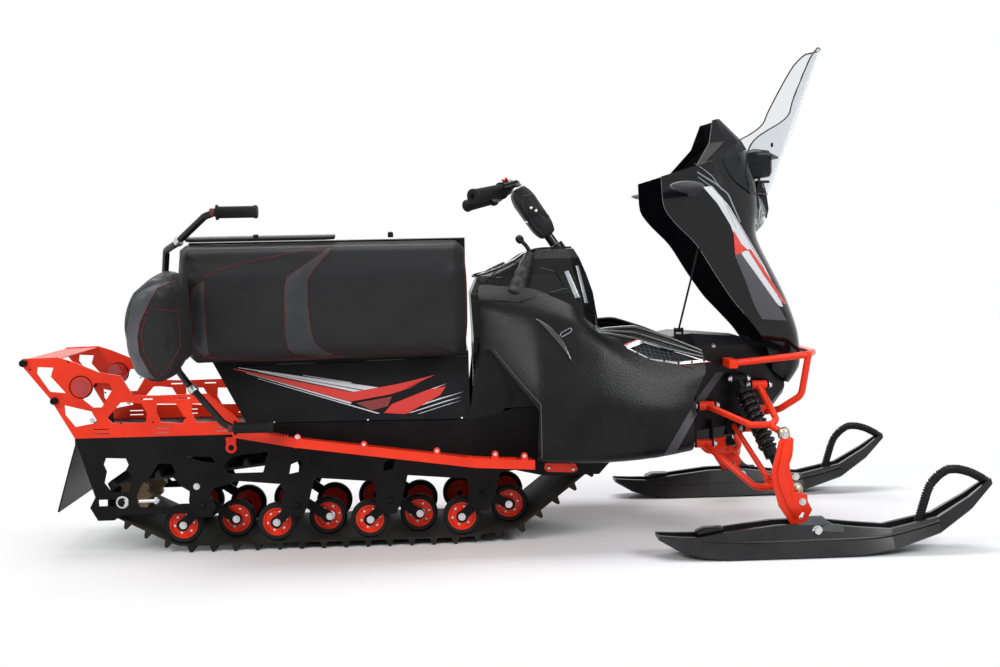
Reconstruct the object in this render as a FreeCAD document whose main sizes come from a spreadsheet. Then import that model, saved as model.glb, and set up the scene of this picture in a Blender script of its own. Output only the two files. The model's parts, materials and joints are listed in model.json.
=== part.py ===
import FreeCAD, Part
import math
import os
from FreeCAD import Matrix, Placement, Rotation, Vector

# Snowmobile in its service position: hood tilted forward on its prop rod, seat
# swung open about its hinge on the right-hand edge of the storage box.
# X points forward, Y to the rider's left, Z up. The origin is on the ground, on
# the centre plane, under the middle of the track's flat run. Millimetres.

doc = FreeCAD.newDocument("Snowmobile")
sheet = doc.addObject("Spreadsheet::Sheet", "Sizes")

SIZES = (
    ("seat_gap", 0.3, "gap between a part and the face that carries it"),
    ("track_half_width", 190, "half the width of the track"),
    ("belt_thickness", 6, "track belt without its lugs"),
    ("lug_height", 19, "lug above the belt"),
    ("lug_pitch", 64, "spacing of the lugs along the belt"),
    ("lug_base", 22, "length of a lug at its root"),
    ("lug_tip", 8, "length of a lug at its tip"),
    ("roller_radius", 55, "outer radius of a roller tyre"),
    ("roller_width", 26, "width of a roller"),
    ("roller_disc_radius", 41, "radius of a roller's pressed disc"),
    ("roller_pitch", 267, "spacing of the rollers in one row"),
    ("roller_stagger", 141, "inner row ahead of the outer row"),
    ("roller_outer_row", 172, "outer row from the centre plane"),
    ("roller_inner_row", 110, "inner row from the centre plane"),
    ("front_roller_lift", 20, "front inner roller above the others"),
    ("bogie_back", 60, "bogie pivot ahead of its outer roller"),
    ("bogie_height", 137, "bogie pivot above the ground"),
    ("bogie_arm_thickness", 6, "thickness of a bogie arm"),
    ("rear_axle_back", 556, "rear axle behind the origin"),
    ("rear_axle_height", 154, "rear axle above the ground"),
    ("rear_sprocket_radius", 50, "belt's inner radius round the rear sprockets"),
    ("drive_axle_ahead", 735, "drive axle ahead of the origin"),
    ("drive_axle_height", 270, "drive axle above the ground"),
    ("drive_sprocket_radius", 70, "belt's inner radius round the drive sprockets"),
    ("sprocket_row", 95, "sprocket from the centre plane"),
    ("sprocket_width", 28, "width of a sprocket"),
    ("axle_radius", 9, "radius of both axles"),
    ("frame_half_width", 200, "inner face of the side plates from the centre plane"),
    ("plate_thickness", 4, "side plates, rack plates and tunnel roof"),
    ("tunnel_rear", 691, "rear end of the tunnel behind the origin"),
    ("tunnel_height", 341, "rear tunnel roof above the ground"),
    ("box_step", 24, "storage box floor above the rear tunnel roof"),
    ("box_step_back", 205, "step in the tunnel roof behind the origin"),
    ("tunnel_front", 850, "front wall of the tunnel ahead of the origin"),
    ("tunnel_front_height", 395, "roof over the drive axle above the ground"),
    ("box_front", 430, "front of the storage box ahead of the origin"),
    ("box_top", 560, "rim of the storage box above the ground"),
    ("box_top_half_width", 165, "rim of the storage box from the centre plane"),
    ("box_rear_slant", 107, "rim reaches this far behind the box floor"),
    ("box_wall", 4, "wall of the storage box"),
    ("hinge_offset", 9, "seat hinge outside the box rim"),
    ("hinge_rise", 2, "seat hinge above the box rim"),
    ("seat_open_angle", 105, "seat swung open from its closed place"),
    ("seat_front", 424, "front of the seat base ahead of the origin"),
    ("seat_rear", 368, "rear of the cushion behind the origin"),
    ("seat_width", 348, "cushion across the machine"),
    ("seat_height", 100, "cushion above its base"),
    ("seat_base_lift", 5, "seat base above the hinge axis when closed"),
    ("seat_base_thickness", 8, "thickness of the seat base"),
    ("handle_tube_radius", 9.5, "passenger handle tube"),
    ("handle_span", 301, "passenger grip from the seat's middle"),
    ("handle_height", 215, "passenger grip above the hinge axis when closed"),
    ("grip_radius", 17, "all four hand grips"),
    ("panel_thickness", 4, "cowl, hood and belly pan"),
    ("hood_hinge_ahead", 1400, "hood hinge ahead of the origin"),
    ("hood_hinge_height", 500, "hood hinge above the ground"),
    ("hood_closing_angle", 33, "hood travel down to the cowl"),
    ("hood_half_width", 212, "hood over the cowl rims from the centre plane"),
    ("glass_thickness", 4, "windshield"),
    ("rod_radius", 3, "prop rod"),
    ("steering_rake", 34, "steering column leaning back from upright"),
    ("column_ahead", 640, "middle of the steering column ahead of the origin"),
    ("column_height", 953, "middle of the steering column above the ground"),
    ("bar_radius", 11, "handlebar tube"),
    ("bumper_radius", 10, "bumper tube"),
    ("arm_radius", 9.5, "suspension arm tube"),
    ("kingpin_side", 352, "king pin from the centre plane"),
    ("kingpin_ahead", 1335, "lower ball joint ahead of the origin"),
    ("kingpin_height", 165, "lower ball joint above the ground"),
    ("kingpin_length", 163, "distance between the two ball joints"),
    ("kingpin_rake", 12.4, "king pin leaning back from upright"),
    ("ball_radius", 13, "ball joint housing"),
    ("ball_height", 20, "ball joint housing along the king pin"),
    ("spindle_thickness", 8, "spindle plate"),
    ("spindle_offset", 40, "spindle plate outside the king pin"),
    ("steering_arm_length", 72, "steering arm behind the king pin"),
    ("ski_offset", 63, "ski's middle outside the king pin"),
    ("ski_bolt_lead", 26, "ski bolt ahead of the lower ball joint"),
    ("ski_bolt_height", 46, "ski bolt above the ground"),
    ("shock_spring_radius", 25, "outside of the shock's coil spring"),
)
for row, (alias, value, note) in enumerate(SIZES, start=1):
    sheet.set("A%d" % row, alias)
    sheet.set("B%d" % row, str(value))
    sheet.set("C%d" % row, note)
    sheet.setAlias("B%d" % row, alias)
doc.recompute()


def size(alias):
    """Value of one cell of the sheet."""
    return float(getattr(sheet, alias))


RIGHT = -1
BELT_INSIDE = size("belt_thickness") + size("lug_height")
ROLLER_Z = BELT_INSIDE + size("roller_radius") + size("seat_gap")
OUTER_ROLLERS = [size("roller_pitch") * (number - 1.5) for number in range(4)]
INNER_ROLLERS = [x + size("roller_stagger") for x in OUTER_ROLLERS]
REAR_AXLE = Vector(-size("rear_axle_back"), 0, size("rear_axle_height"))
DRIVE_AXLE = Vector(size("drive_axle_ahead"), 0, size("drive_axle_height"))
PLATE_INSIDE = size("frame_half_width")
PLATE_OUTSIDE = PLATE_INSIDE + size("plate_thickness")
BOX_FLOOR = size("tunnel_height") + size("box_step")
HINGE_Y = -(size("box_top_half_width") + size("hinge_offset"))
HINGE_Z = size("box_top") + size("hinge_rise")
HOOD_HINGE = Vector(size("hood_hinge_ahead"), 0, size("hood_hinge_height"))
COLUMN = Vector(size("column_ahead"), 0, size("column_height"))
COLUMN_TILT = Rotation(Vector(0, 1, 0), -size("steering_rake"))
KINGPIN_TILT = Rotation(Vector(0, 1, 0), -size("kingpin_rake"))
LOWER_BALL = Vector(size("kingpin_ahead"), -size("kingpin_side"), size("kingpin_height"))
KINGPIN_AXIS = KINGPIN_TILT.multVec(Vector(0, 0, 1))
UPPER_BALL = LOWER_BALL + KINGPIN_AXIS * size("kingpin_length")
SKI_BOLT_X = LOWER_BALL.x + size("ski_bolt_lead")


def feature(label, shape):
    """A document object that holds a shape made with Part's functions."""
    item = doc.addObject("Part::Feature", label)
    item.Label = label
    item.Shape = shape
    return item


def mirrored(label, source):
    """The left-hand copy of a right-hand object."""
    item = doc.addObject("Part::Mirroring", label)
    item.Label = label
    item.Source = source
    item.Normal = Vector(0, 1, 0)
    item.Base = Vector(0, 0, 0)
    return item


def compound(label, items):
    """Like pieces that share a node."""
    group = doc.addObject("Part::Compound", label)
    group.Label = label
    group.Links = items
    return group


def pair(label, shape):
    """A right-hand piece and its mirror image in one node."""
    right = feature(label + "_right_side", shape)
    return compound(label, [right, mirrored(label + "_left_side", right)])


def xz(points, y):
    return [Vector(x, y, z) for x, z in points]


def closed_wire(points):
    return Part.makePolygon(points + points[:1])


def prism_y(points, y_from, y_to):
    """Outline in the XZ plane, drawn out along Y."""
    face = Part.Face(closed_wire(xz(points, y_from)))
    return face.extrude(Vector(0, y_to - y_from, 0))


def box(x_from, x_to, y_from, y_to, z_from, z_to):
    return Part.makeBox(x_to - x_from, y_to - y_from, z_to - z_from, Vector(x_from, y_from, z_from))


def rod(start, end, radius):
    """Round bar between two points."""
    return Part.makeCylinder(radius, (end - start).Length, start, end - start)


def loft(rings):
    """Solid skinned straight from ring to ring."""
    return Part.makeLoft([closed_wire(ring) for ring in rings], True, True)


def rounded_path(points, bend):
    """Wire through the points with each corner rounded to the bend radius."""
    edges = []
    start = points[0]
    for before, corner, after in zip(points, points[1:], points[2:]):
        back = (before - corner).normalize()
        ahead = (after - corner).normalize()
        turn = math.pi - back.getAngle(ahead)
        room = 0.45 * min((before - corner).Length, (after - corner).Length)
        cut = min(bend * math.tan(turn / 2), room)
        radius = cut / math.tan(turn / 2)
        inward = (back + ahead).normalize()
        centre = corner + inward * (radius / math.cos(turn / 2))
        first, last = corner + back * cut, corner + ahead * cut
        edges.append(Part.LineSegment(start, first).toShape())
        edges.append(Part.Arc(first, centre - inward * radius, last).toShape())
        start = last
    edges.append(Part.LineSegment(start, points[-1]).toShape())
    return Part.Wire(edges)


def tube(points, radius, bend):
    """Round tube bent along a path."""
    path = rounded_path(points, bend)
    ring = Part.Wire(Part.makeCircle(radius, points[0], points[1] - points[0]))
    return path.makePipeShell([ring], True, False)


def offset_line(points, distance):
    """Open outline moved sideways by a distance, with mitred corners."""
    normals = []
    for (a, b), (c, d) in zip(points, points[1:]):
        length = math.hypot(c - a, d - b)
        normals.append(((d - b) / length, -(c - a) / length))
    moved = []
    for index, (a, b) in enumerate(points):
        n1 = normals[max(index - 1, 0)]
        n2 = normals[min(index, len(normals) - 1)]
        scale = distance / (1 + n1[0] * n2[0] + n1[1] * n2[1])
        moved.append((a + (n1[0] + n2[0]) * scale, b + (n1[1] + n2[1]) * scale))
    return moved


def panel(stations, thickness):
    """Sheet panel skinned over outlines that lie across X.

    Each station is its X and its outer outline as (Y, Z) pairs."""
    rings = []
    for x, outline in stations:
        inner = offset_line(outline, thickness)
        rings.append([Vector(x, y, z) for y, z in outline + inner[::-1]])
    return loft(rings)


def between(x, table):
    """Value at X on straight lines through (X, value) pairs."""
    for (x0, v0), (x1, v1) in zip(table, table[1:]):
        if x <= x1:
            break
    return v0 + (v1 - v0) * (x - x0) / (x1 - x0)


def plane(body, role):
    return next(item for item in body.Origin.OriginFeatures if item.Role == role)


def draw_loops(sketch, loops):
    """Closed outlines as point lists, circles as (centre X, centre Z, radius)."""
    for loop in loops:
        if len(loop) == 3 and not isinstance(loop[0], tuple):
            circle = Part.Circle(Vector(loop[0], loop[1], 0), Vector(0, 0, 1), loop[2])
            sketch.addGeometry(circle, False)
            continue
        corners = [Vector(a, b, 0) for a, b in loop]
        for start, end in zip(corners, corners[1:] + corners[:1]):
            sketch.addGeometry(Part.LineSegment(start, end), False)


def plate_body(label, loops, inner_face, thickness_alias):
    """Flat plate along the side of the machine, padded outward to the right."""
    body = doc.addObject("PartDesign::Body", label)
    body.Label = label
    sketch = body.newObject("Sketcher::SketchObject", label + "_outline")
    sketch.AttachmentSupport = (plane(body, "XZ_Plane"), "")
    sketch.MapMode = "FlatFace"
    sketch.AttachmentOffset = Placement(Vector(0, 0, inner_face), Rotation())
    draw_loops(sketch, loops)
    pad = body.newObject("PartDesign::Pad", label + "_pad")
    pad.Profile = sketch
    pad.setExpression("Length", "Sizes." + thickness_alias)
    body.Tip = pad
    return body


# Track, its sprockets and its rollers


def track_circles():
    """Circles that carry the belt's inner face, counter-clockwise from the rear."""
    radius = size("roller_radius") + size("seat_gap")
    lifted = ROLLER_Z + size("front_roller_lift")
    return [
        (REAR_AXLE.x, REAR_AXLE.z, size("rear_sprocket_radius")),
        (OUTER_ROLLERS[0], ROLLER_Z, radius),
        (OUTER_ROLLERS[-1], ROLLER_Z, radius),
        (INNER_ROLLERS[-1], lifted, radius),
        (DRIVE_AXLE.x, DRIVE_AXLE.z, size("drive_sprocket_radius")),
    ]


def belt_spans():
    """Straight spans and wraps of the belt as (kind, length, data)."""
    circles = track_circles()
    headings = []
    for (ax, az, ar), (bx, bz, br) in zip(circles, circles[1:] + circles[:1]):
        length = math.hypot(bx - ax, bz - az)
        headings.append(math.atan2(bz - az, bx - ax) + math.asin((ar - br) / length))
    spans = []
    for index, (ax, az, ar) in enumerate(circles):
        bx, bz, br = circles[(index + 1) % len(circles)]
        heading = headings[index]
        normal = (math.sin(heading), -math.cos(heading))
        start = (ax + ar * normal[0], az + ar * normal[1])
        end = (bx + br * normal[0], bz + br * normal[1])
        length = math.hypot(end[0] - start[0], end[1] - start[1])
        spans.append(("line", length, (start, end, normal)))
        turn = (headings[(index + 1) % len(circles)] - heading) % (2 * math.pi)
        spans.append(("arc", br * turn, ((bx, bz), br, heading - math.pi / 2, turn)))
    return spans


def belt_point(spans, distance, height):
    """Point at a distance along the belt and a height over its inner face."""
    distance %= sum(length for _, length, _ in spans)
    for kind, length, data in spans:
        if distance <= length:
            break
        distance -= length
    if kind == "line":
        (x1, z1), (x2, z2), (nx, nz) = data
        share = distance / length
        return x1 + (x2 - x1) * share + nx * height, z1 + (z2 - z1) * share + nz * height
    (cx, cz), radius, angle, turn = data
    angle += turn * distance / length
    return cx + (radius + height) * math.cos(angle), cz + (radius + height) * math.sin(angle)


def make_track():
    """One closed loop, with full-width lugs in its outline."""
    spans = belt_spans()
    total = sum(length for _, length, _ in spans)
    lugs = round(total / size("lug_pitch"))
    pitch = total / lugs
    belt, tip = size("belt_thickness"), BELT_INSIDE
    flat_start = spans[0][1] + spans[1][1]
    middle = flat_start + spans[2][1] / 2
    outline = []
    for number in range(lugs):
        centre = middle + number * pitch
        for along, height in (
            (-size("lug_base") / 2, belt),
            (-size("lug_tip") / 2, tip),
            (size("lug_tip") / 2, tip),
            (size("lug_base") / 2, belt),
            (pitch / 2, belt),
        ):
            outline.append(belt_point(spans, centre + along, height))
    half = size("track_half_width")
    inner_edges = []
    for kind, length, data in spans:
        if kind == "line":
            start, end, _ = data
            inner_edges.append(Part.LineSegment(*xz((start, end), -half)).toShape())
        else:
            (cx, cz), radius, angle, turn = data
            stops = [angle, angle + turn / 2, angle + turn]
            around = [(cx + radius * math.cos(stop), cz + radius * math.sin(stop)) for stop in stops]
            inner_edges.append(Part.Arc(*xz(around, -half)).toShape())
    outer = Part.Face(closed_wire(xz(outline, -half)))
    inner = Part.Face(Part.Wire(inner_edges))
    extent = Vector(0, 2 * half, 0)
    return feature("track", outer.extrude(extent).cut(inner.extrude(extent)))


def roller_places():
    """Centre of every roller on the right, with its row."""
    lifted = size("front_roller_lift")
    places = [(x, -size("roller_outer_row"), ROLLER_Z) for x in OUTER_ROLLERS]
    places += [(x, -size("roller_inner_row"), ROLLER_Z) for x in INNER_ROLLERS[:-1]]
    places.append((INNER_ROLLERS[-1], -size("roller_inner_row"), ROLLER_Z + lifted))
    return places


def along_y(profile, centre):
    """Ring turned about a Y axis from its (radius, offset) section."""
    points = [Vector(radius, offset, 0) for radius, offset in profile]
    ring = Part.Face(closed_wire(points)).revolve(Vector(0, 0, 0), Vector(0, 1, 0), 360)
    ring.translate(Vector(*centre))
    return ring


def make_rollers():
    half = size("roller_width") / 2
    outside, disc = size("roller_radius"), size("roller_disc_radius")
    tyre = [
        (disc, -half + 2), (outside - 5, -half), (outside, -half + 5),
        (outside, half - 5), (outside - 5, half), (disc, half - 2),
    ]
    dish = half - 5
    hub = size("axle_radius") + 7
    wheel = [
        (size("axle_radius"), -half), (hub, -half), (hub, -dish + 4), (disc - 8, -dish + 4),
        (disc - 5, -dish), (disc, -dish), (disc, dish), (disc - 5, dish),
        (disc - 8, dish - 4), (hub, dish - 4), (hub, half), (size("axle_radius"), half),
    ]
    places = roller_places()
    tyres = Part.makeCompound([along_y(tyre, place) for place in places])
    discs = Part.makeCompound([along_y(wheel, place) for place in places])
    pair("roller_tyres", tyres)
    pair("roller_discs", discs)


def bogie_arm(pivot, wheel, y_outer, thickness):
    """Flat arm with round ends between a pivot and a wheel centre."""
    ends = [Part.makeCylinder(17, thickness, Vector(x, y_outer, z), Vector(0, 1, 0)) for x, z in (pivot, wheel)]
    dx, dz = wheel[0] - pivot[0], wheel[1] - pivot[1]
    length = math.hypot(dx, dz)
    nx, nz = -dz / length * 14, dx / length * 14
    outline = [
        (pivot[0] + nx, pivot[1] + nz), (wheel[0] + nx, wheel[1] + nz),
        (wheel[0] - nx, wheel[1] - nz), (pivot[0] - nx, pivot[1] - nz),
    ]
    return ends[0].fuse([ends[1], prism_y(outline, y_outer, y_outer + thickness)])


def make_bogies():
    """Each bogie swings one outer and one inner roller about a tube in the side plate."""
    thickness = size("bogie_arm_thickness")
    clear = 3
    half = size("roller_width") / 2
    outer_arm = -(size("roller_outer_row") + half + clear + thickness)
    inner_arm = -(size("roller_inner_row") + half + clear + thickness)
    bogies = []
    for number, (outer_x, inner_x) in enumerate(zip(OUTER_ROLLERS, INNER_ROLLERS)):
        pivot = (outer_x + size("bogie_back"), size("bogie_height"))
        inner_z = ROLLER_Z + (size("front_roller_lift") if number == 3 else 0)
        pieces = [
            bogie_arm(pivot, (inner_x, inner_z), inner_arm, thickness),
            rod(Vector(pivot[0], inner_arm, pivot[1]), Vector(pivot[0], -PLATE_INSIDE, pivot[1]), 15),
        ]
        for x, z, arm, row in (
            (outer_x, ROLLER_Z, outer_arm, size("roller_outer_row")),
            (inner_x, inner_z, inner_arm, size("roller_inner_row")),
        ):
            pin_end = -row + half
            pieces.append(rod(Vector(x, arm, z), Vector(x, pin_end, z), size("axle_radius")))
        bogies.append(bogie_arm(pivot, (outer_x, ROLLER_Z), outer_arm, thickness).fuse(pieces))
    pair("bogie_arms", Part.makeCompound(bogies))


def sprocket(centre, belt_radius, teeth):
    """Toothed wheel that stays inside the belt."""
    tip = belt_radius - size("seat_gap")
    root = tip - 9
    step = 2 * math.pi / teeth
    outline = []
    for number in range(teeth):
        for share, radius in ((-0.38, root), (-0.12, tip), (0.12, tip), (0.38, root)):
            angle = (number + share) * step
            outline.append((centre.x + radius * math.cos(angle), centre.z + radius * math.sin(angle)))
    inner = size("sprocket_row") - size("sprocket_width") / 2
    wheel = prism_y(outline, -inner - size("sprocket_width"), -inner)
    return wheel.cut(rod(centre + Vector(0, -PLATE_INSIDE, 0), centre, size("axle_radius")))


def make_axles():
    rear = sprocket(REAR_AXLE, size("rear_sprocket_radius"), 8)
    drive = sprocket(DRIVE_AXLE, size("drive_sprocket_radius"), 9)
    pair("sprockets", Part.makeCompound([rear, drive]))
    shafts = []
    for name, centre, half in (("rear_shaft", REAR_AXLE, PLATE_OUTSIDE + 9), ("drive_shaft", DRIVE_AXLE, PLATE_INSIDE)):
        shaft = doc.addObject("Part::Cylinder", name)
        shaft.setExpression("Radius", "Sizes.axle_radius")
        shaft.Height = 2 * half
        shaft.Placement = Placement(centre - Vector(0, half, 0), Rotation(Vector(1, 0, 0), -90))
        shafts.append(shaft)
    compound("axles", shafts)


# Chassis plates, storage box and rack


def leg_outline(pivot_x, pivot_z):
    """Lower end of one leg of the side plate, rear edge first."""
    leg = [(-45, 57), (-38, 37), (-43, -18), (-16, -38), (17, -39), (34, -4), (53, 72)]
    return [(pivot_x + x, pivot_z + z) for x, z in leg]


def side_plate_loops():
    roof = size("tunnel_height")
    step = -size("box_step_back")
    pivots = [x + size("bogie_back") for x in OUTER_ROLLERS]
    low = size("bogie_height")
    outline = [
        (-size("tunnel_rear"), roof), (-641, 171), (-657, 141), (-636, 103), (-590, 103), (-568, 117),
        (pivots[0] - 30, 117), (pivots[0] - 10, low - 33), (pivots[0] + 25, low - 33),
        (pivots[0] + 37, low - 8), (pivots[0] + 22, low + 30), (pivots[0] + 31, low + 49),
        (pivots[0] + 105, 206),
    ]
    for pivot in pivots[1:]:
        outline += leg_outline(pivot, low)
    outline += [
        (pivots[-1] + 95, 215), (640, 196), (800, 196), (size("tunnel_front"), 250),
        (size("tunnel_front"), size("tunnel_front_height")), (560, size("tunnel_front_height")),
        (440, BOX_FLOOR), (step, BOX_FLOOR), (step, roof),
    ]
    slot = size("axle_radius") + 0.5
    axle = REAR_AXLE
    windows = [
        [(-607, 283), (-551, 280), (-544, 262), (-552, 247), (-536, 231), (-546, 184), (-595, 185),
         (-614, 211), (-606, 244), (-614, 264)],
        [(-460, 263), (-423, 260), (-415, 239), (-421, 222), (-398, 195), (-376, 181), (-376, 145),
         (-402, 145), (-427, 138), (-515, 138), (-525, 150), (-525, 173), (-508, 205), (-486, 224)],
        [(-389, 282), (-311, 278), (-298, 260), (-338, 266)],
        [(-277, 251), (-251, 278), (-151, 289), (-151, 275), (-166, 229), (-264, 229)],
        [(axle.x - 76, axle.z - slot), (axle.x + slot, axle.z - slot), (axle.x + slot, axle.z + slot),
         (axle.x - 76, axle.z + slot)],
    ]
    for pivot in pivots[1:]:
        windows.append([(pivot - 12, 250), (pivot + 20, 262), (pivot + 12, 228), (pivot - 18, 222)])
    return [outline] + windows


def make_chassis():
    right = plate_body("side_plate_right", side_plate_loops(), PLATE_INSIDE, "plate_thickness")
    mirrored("side_plate_left", right)
    wall = size("plate_thickness")
    roof, floor, top = size("tunnel_height"), BOX_FLOOR, size("tunnel_front_height")
    rear, step, front = -size("tunnel_rear"), -size("box_step_back"), size("tunnel_front")
    outline = [
        (rear, roof), (step, roof), (step, floor), (440, floor), (560, top), (front, top), (front, 300),
        (front - wall, 300), (front - wall, top - wall), (561, top - wall), (441, floor - wall),
        (step + wall, floor - wall), (step + wall, roof - wall), (rear, roof - wall),
    ]
    feature("tunnel_roof", prism_y(outline, -PLATE_INSIDE, PLATE_INSIDE))
    top = rear - size("seat_gap")
    flap = [(top, roof), (top, roof - 20), (rear - 16, 270), (rear - 58, 128), (rear - 62, 130), (rear - 20, 271),
            (top - 4, roof - 20), (top - 4, roof)]
    feature("mud_flap", prism_y(flap, -190, 190))


def storage_ring(z, inset):
    """Inside or outside edge of the storage box at one height."""
    share = (z - BOX_FLOOR) / (size("box_top") - BOX_FLOOR)
    rear = -size("box_step_back") - size("box_rear_slant") * share + inset
    front = size("box_front") - inset
    bottom_half = PLATE_INSIDE - 1
    half = bottom_half + (size("box_top_half_width") - bottom_half) * share - inset
    return [Vector(rear, -half, z), Vector(front, -half, z), Vector(front, half, z), Vector(rear, half, z)]


def make_storage_box():
    wall, top = size("box_wall"), size("box_top")
    outside = loft([storage_ring(BOX_FLOOR, 0), storage_ring(top, 0)])
    inside = loft([storage_ring(BOX_FLOOR + wall, wall), storage_ring(top, wall)])
    feature("storage_box", outside.cut(inside))


KNUCKLE_LENGTH = 50
KNUCKLE_PLACES = (-200, 60, 320)
KNUCKLE_RADIUS = 4.5


def make_seat_hinge():
    """Fixed knuckles and leaves of the seat hinge on the box's right-hand rim."""
    half = KNUCKLE_LENGTH / 2
    pieces = []
    for x in KNUCKLE_PLACES:
        knuckle = rod(Vector(x - half, HINGE_Y, HINGE_Z), Vector(x + half, HINGE_Y, HINGE_Z), KNUCKLE_RADIUS)
        wall = -size("box_top_half_width") - 1.8 - size("seat_gap")
        leaf = box(x - half, x + half, HINGE_Y + 1, wall, HINGE_Z - 12, HINGE_Z - 3)
        pin = rod(Vector(x - half - 6, HINGE_Y, HINGE_Z), Vector(x + half + 6, HINGE_Y, HINGE_Z), 2)
        pieces.append(knuckle.fuse([leaf, pin]))
    feature("seat_hinge", Part.makeCompound(pieces))


def rack_loops():
    bottom = size("tunnel_height")
    outline = [
        (-827, 571), (-727, 573), (-684, 558), (-614, 527), (-557, 517), (-524, 461), (-466, 458),
        (-314, 460), (-222, 378), (-208, bottom), (-size("tunnel_rear"), bottom), (-755, 456), (-834, 558),
    ]
    windows = [
        [(-786, 547), (-742, 544), (-750, 519), (-710, 471), (-754, 476), (-789, 529)],
        [(-716, 437), (-641, 417), (-625, 385), (-688, 374), (-715, 410)],
        [(-629, 498), (-590, 497), (-580, 479), (-612, 428), (-636, 428), (-664, 452), (-640, 476)],
        [(-560, 440), (-542, 441), (-502, 436), (-486, 408), (-491, 381), (-585, 383), (-598, 397)],
        [(-458, 435), (-404, 433), (-381, 392), (-388, 376), (-449, 382), (-459, 407)],
        [(-359, 432), (-315, 431), (-276, 392), (-276, 378), (-348, 379), (-361, 405)],
    ]
    for start in (-637, -467, -297):
        for z in (351, 364):
            windows.append([(start, z), (start + 42, z), (start + 42, z + 3), (start, z + 3)])
    for start, z in ((-505, 446), (-400, 446)):
        windows.append([(start, z), (start + 36, z), (start + 36, z + 4), (start, z + 4)])
    return [outline] + windows


RACK_RODS = ((-823, 559), (-742, 450))


def make_rack():
    right = plate_body("rack_side_right", rack_loops(), PLATE_INSIDE, "plate_thickness")
    mirrored("rack_side_left", right)
    rods = []
    for x, z in RACK_RODS:
        bar = rod(Vector(x, -PLATE_INSIDE, z), Vector(x, PLATE_INSIDE, z), 5.5)
        for end in (-1, 1):
            outside = end * (PLATE_OUTSIDE + size("seat_gap"))
            knob = rod(Vector(x, outside, z), Vector(x, outside + end * 12, z), 10)
            rods.append(knob)
        rods.append(bar)
    feature("rack_rods", Part.makeCompound(rods))
    tail = [(-826, 568), (-727, 570), (-727, 567), (-773, 566), (-775, 556), (-779, 556), (-781, 566), (-826, 565)]
    feature("rack_tail_panel", prism_y(tail, -PLATE_INSIDE, PLATE_INSIDE))
    lamps = []
    for side in ("right", "left"):
        lamp = doc.addObject("Part::Cylinder", "tail_lamp_" + side)
        lamp.Radius = 31
        lamp.Height = 10
        y = -PLATE_INSIDE + 10 if side == "right" else PLATE_INSIDE
        lamp.Placement = Placement(Vector(-668, y, 487), Rotation(Vector(1, 0, 0), 90))
        lamps.append(lamp)
    compound("tail_lamps", lamps)


def make_hitch():
    """Tow hitch on the rear of the roof: a foot, an upright tongue and its pin bore."""
    roof = size("tunnel_height")
    foot = box(-689, -600, -40, 40, roof, roof + 6)
    jaws = box(-689, -640, -20, 20, roof + 6, roof + 60).cut(box(-700, -665, -30, 30, roof + 20, roof + 44))
    bore = rod(Vector(-676, 0, roof - 1), Vector(-676, 0, roof + 70), 7)
    feature("tow_hitch", foot.fuse(jaws).cut(bore).removeSplitter())


def upright_ring(x, y_from, y_to, z_from, z_to):
    """Rectangle across the machine at one X."""
    return [Vector(x, y_from, z_from), Vector(x, y_to, z_from), Vector(x, y_to, z_to), Vector(x, y_from, z_to)]


def make_running_boards():
    """Sloping board with a raised outer rail, from the side plate out to the leg guard."""
    inner = -(PLATE_OUTSIDE + size("seat_gap"))
    stations = ((-243, 342, -228), (-60, 324, -322), (440, 255, -335), (604, 246, -338))
    board, rail = [], []
    for x, z, outer in stations:
        board.append(upright_ring(x, inner, outer + 6, z, z + 4))
        rail.append(upright_ring(x, outer - 6, outer + 6, z - 6, z + 20))
    solid = loft(board).fuse(loft(rail))
    for number in range(7):
        x = -20 + number * 80
        z = 318 - (x + 60) * 0.138
        solid = solid.cut(box(x, x + 56, -305, -235, z - 40, z + 60))
    for x, z in ((-50, 350), (132, 326), (333, 303), (494, 290), (575, 283)):
        outer = between(x, [(station[0], station[2]) for station in stations])
        tab = box(x - 9, x + 9, outer - 4, outer + 2, z - 34, z - 4)
        ear = rod(Vector(x, outer - 4, z - 4), Vector(x, outer + 2, z - 4), 9)
        solid = solid.fuse([tab, ear])
    right = feature("running_board_right", solid)
    mirrored("running_board_left", right)


# Engine, cowls and front body


def make_cowls():
    """Flared side cowl: belly edge, flare crease, shoulder crease and rim."""
    flange = -(PLATE_OUTSIDE + 3 * size("seat_gap"))
    stations = (
        (462, [(flange - size("panel_thickness"), 240), (-222, 300), (-238, 480), (-206, 700), (-150, 752)]),
        (620, [(flange, 236), (-330, 250), (-350, 420), (-262, 665), (-190, 738)]),
        (725, [(flange, 234), (-334, 246), (-352, 410), (-282, 640), (-222, 690)]),
        (799, [(flange, 232), (-334, 246), (-350, 400), (-290, 596), (-224, 618)]),
        (905, [(flange, 236), (-328, 252), (-338, 390), (-292, 508), (-224, 626)]),
        (1000, [(flange, 246), (-310, 262), (-318, 380), (-284, 474), (-224, 594)]),
        (1104, [(flange, 262), (-270, 280), (-276, 390), (-256, 492), (-224, 548)]),
    )
    shell = panel(stations, size("panel_thickness"))
    rear_cut = [(440, 200), (613, 200), (613, 257), (619, 404), (489, 568), (440, 568)]
    front_cut = [(1063, 200), (1063, 420), (1106, 496), (1140, 496), (1140, 200)]
    solid = shell.cut([prism_y(rear_cut, -420, -150), prism_y(front_cut, -420, -150)])
    vent = [(873, 567), (920, 582), (1100, 523), (1026, 519), (938, 533)]
    solid = solid.cut(prism_y(vent, -420, -215))
    right = feature("side_cowl_right", solid)
    mirrored("side_cowl_left", right)
    depth = size("panel_thickness") + size("seat_gap")
    backing = panel([(x, offset_line(outline, depth)[3:]) for x, outline in stations[3:]], 3)
    grille = backing.common(prism_y(vent, -420, -215))
    pair("vent_grilles", grille)


def make_engine():
    block = doc.addObject("Part::Box", "engine")
    block.Label = "engine"
    block.Length, block.Width, block.Height = 204, 260, 272
    block.Placement = Placement(Vector(870, -130, 269), Rotation())


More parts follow.
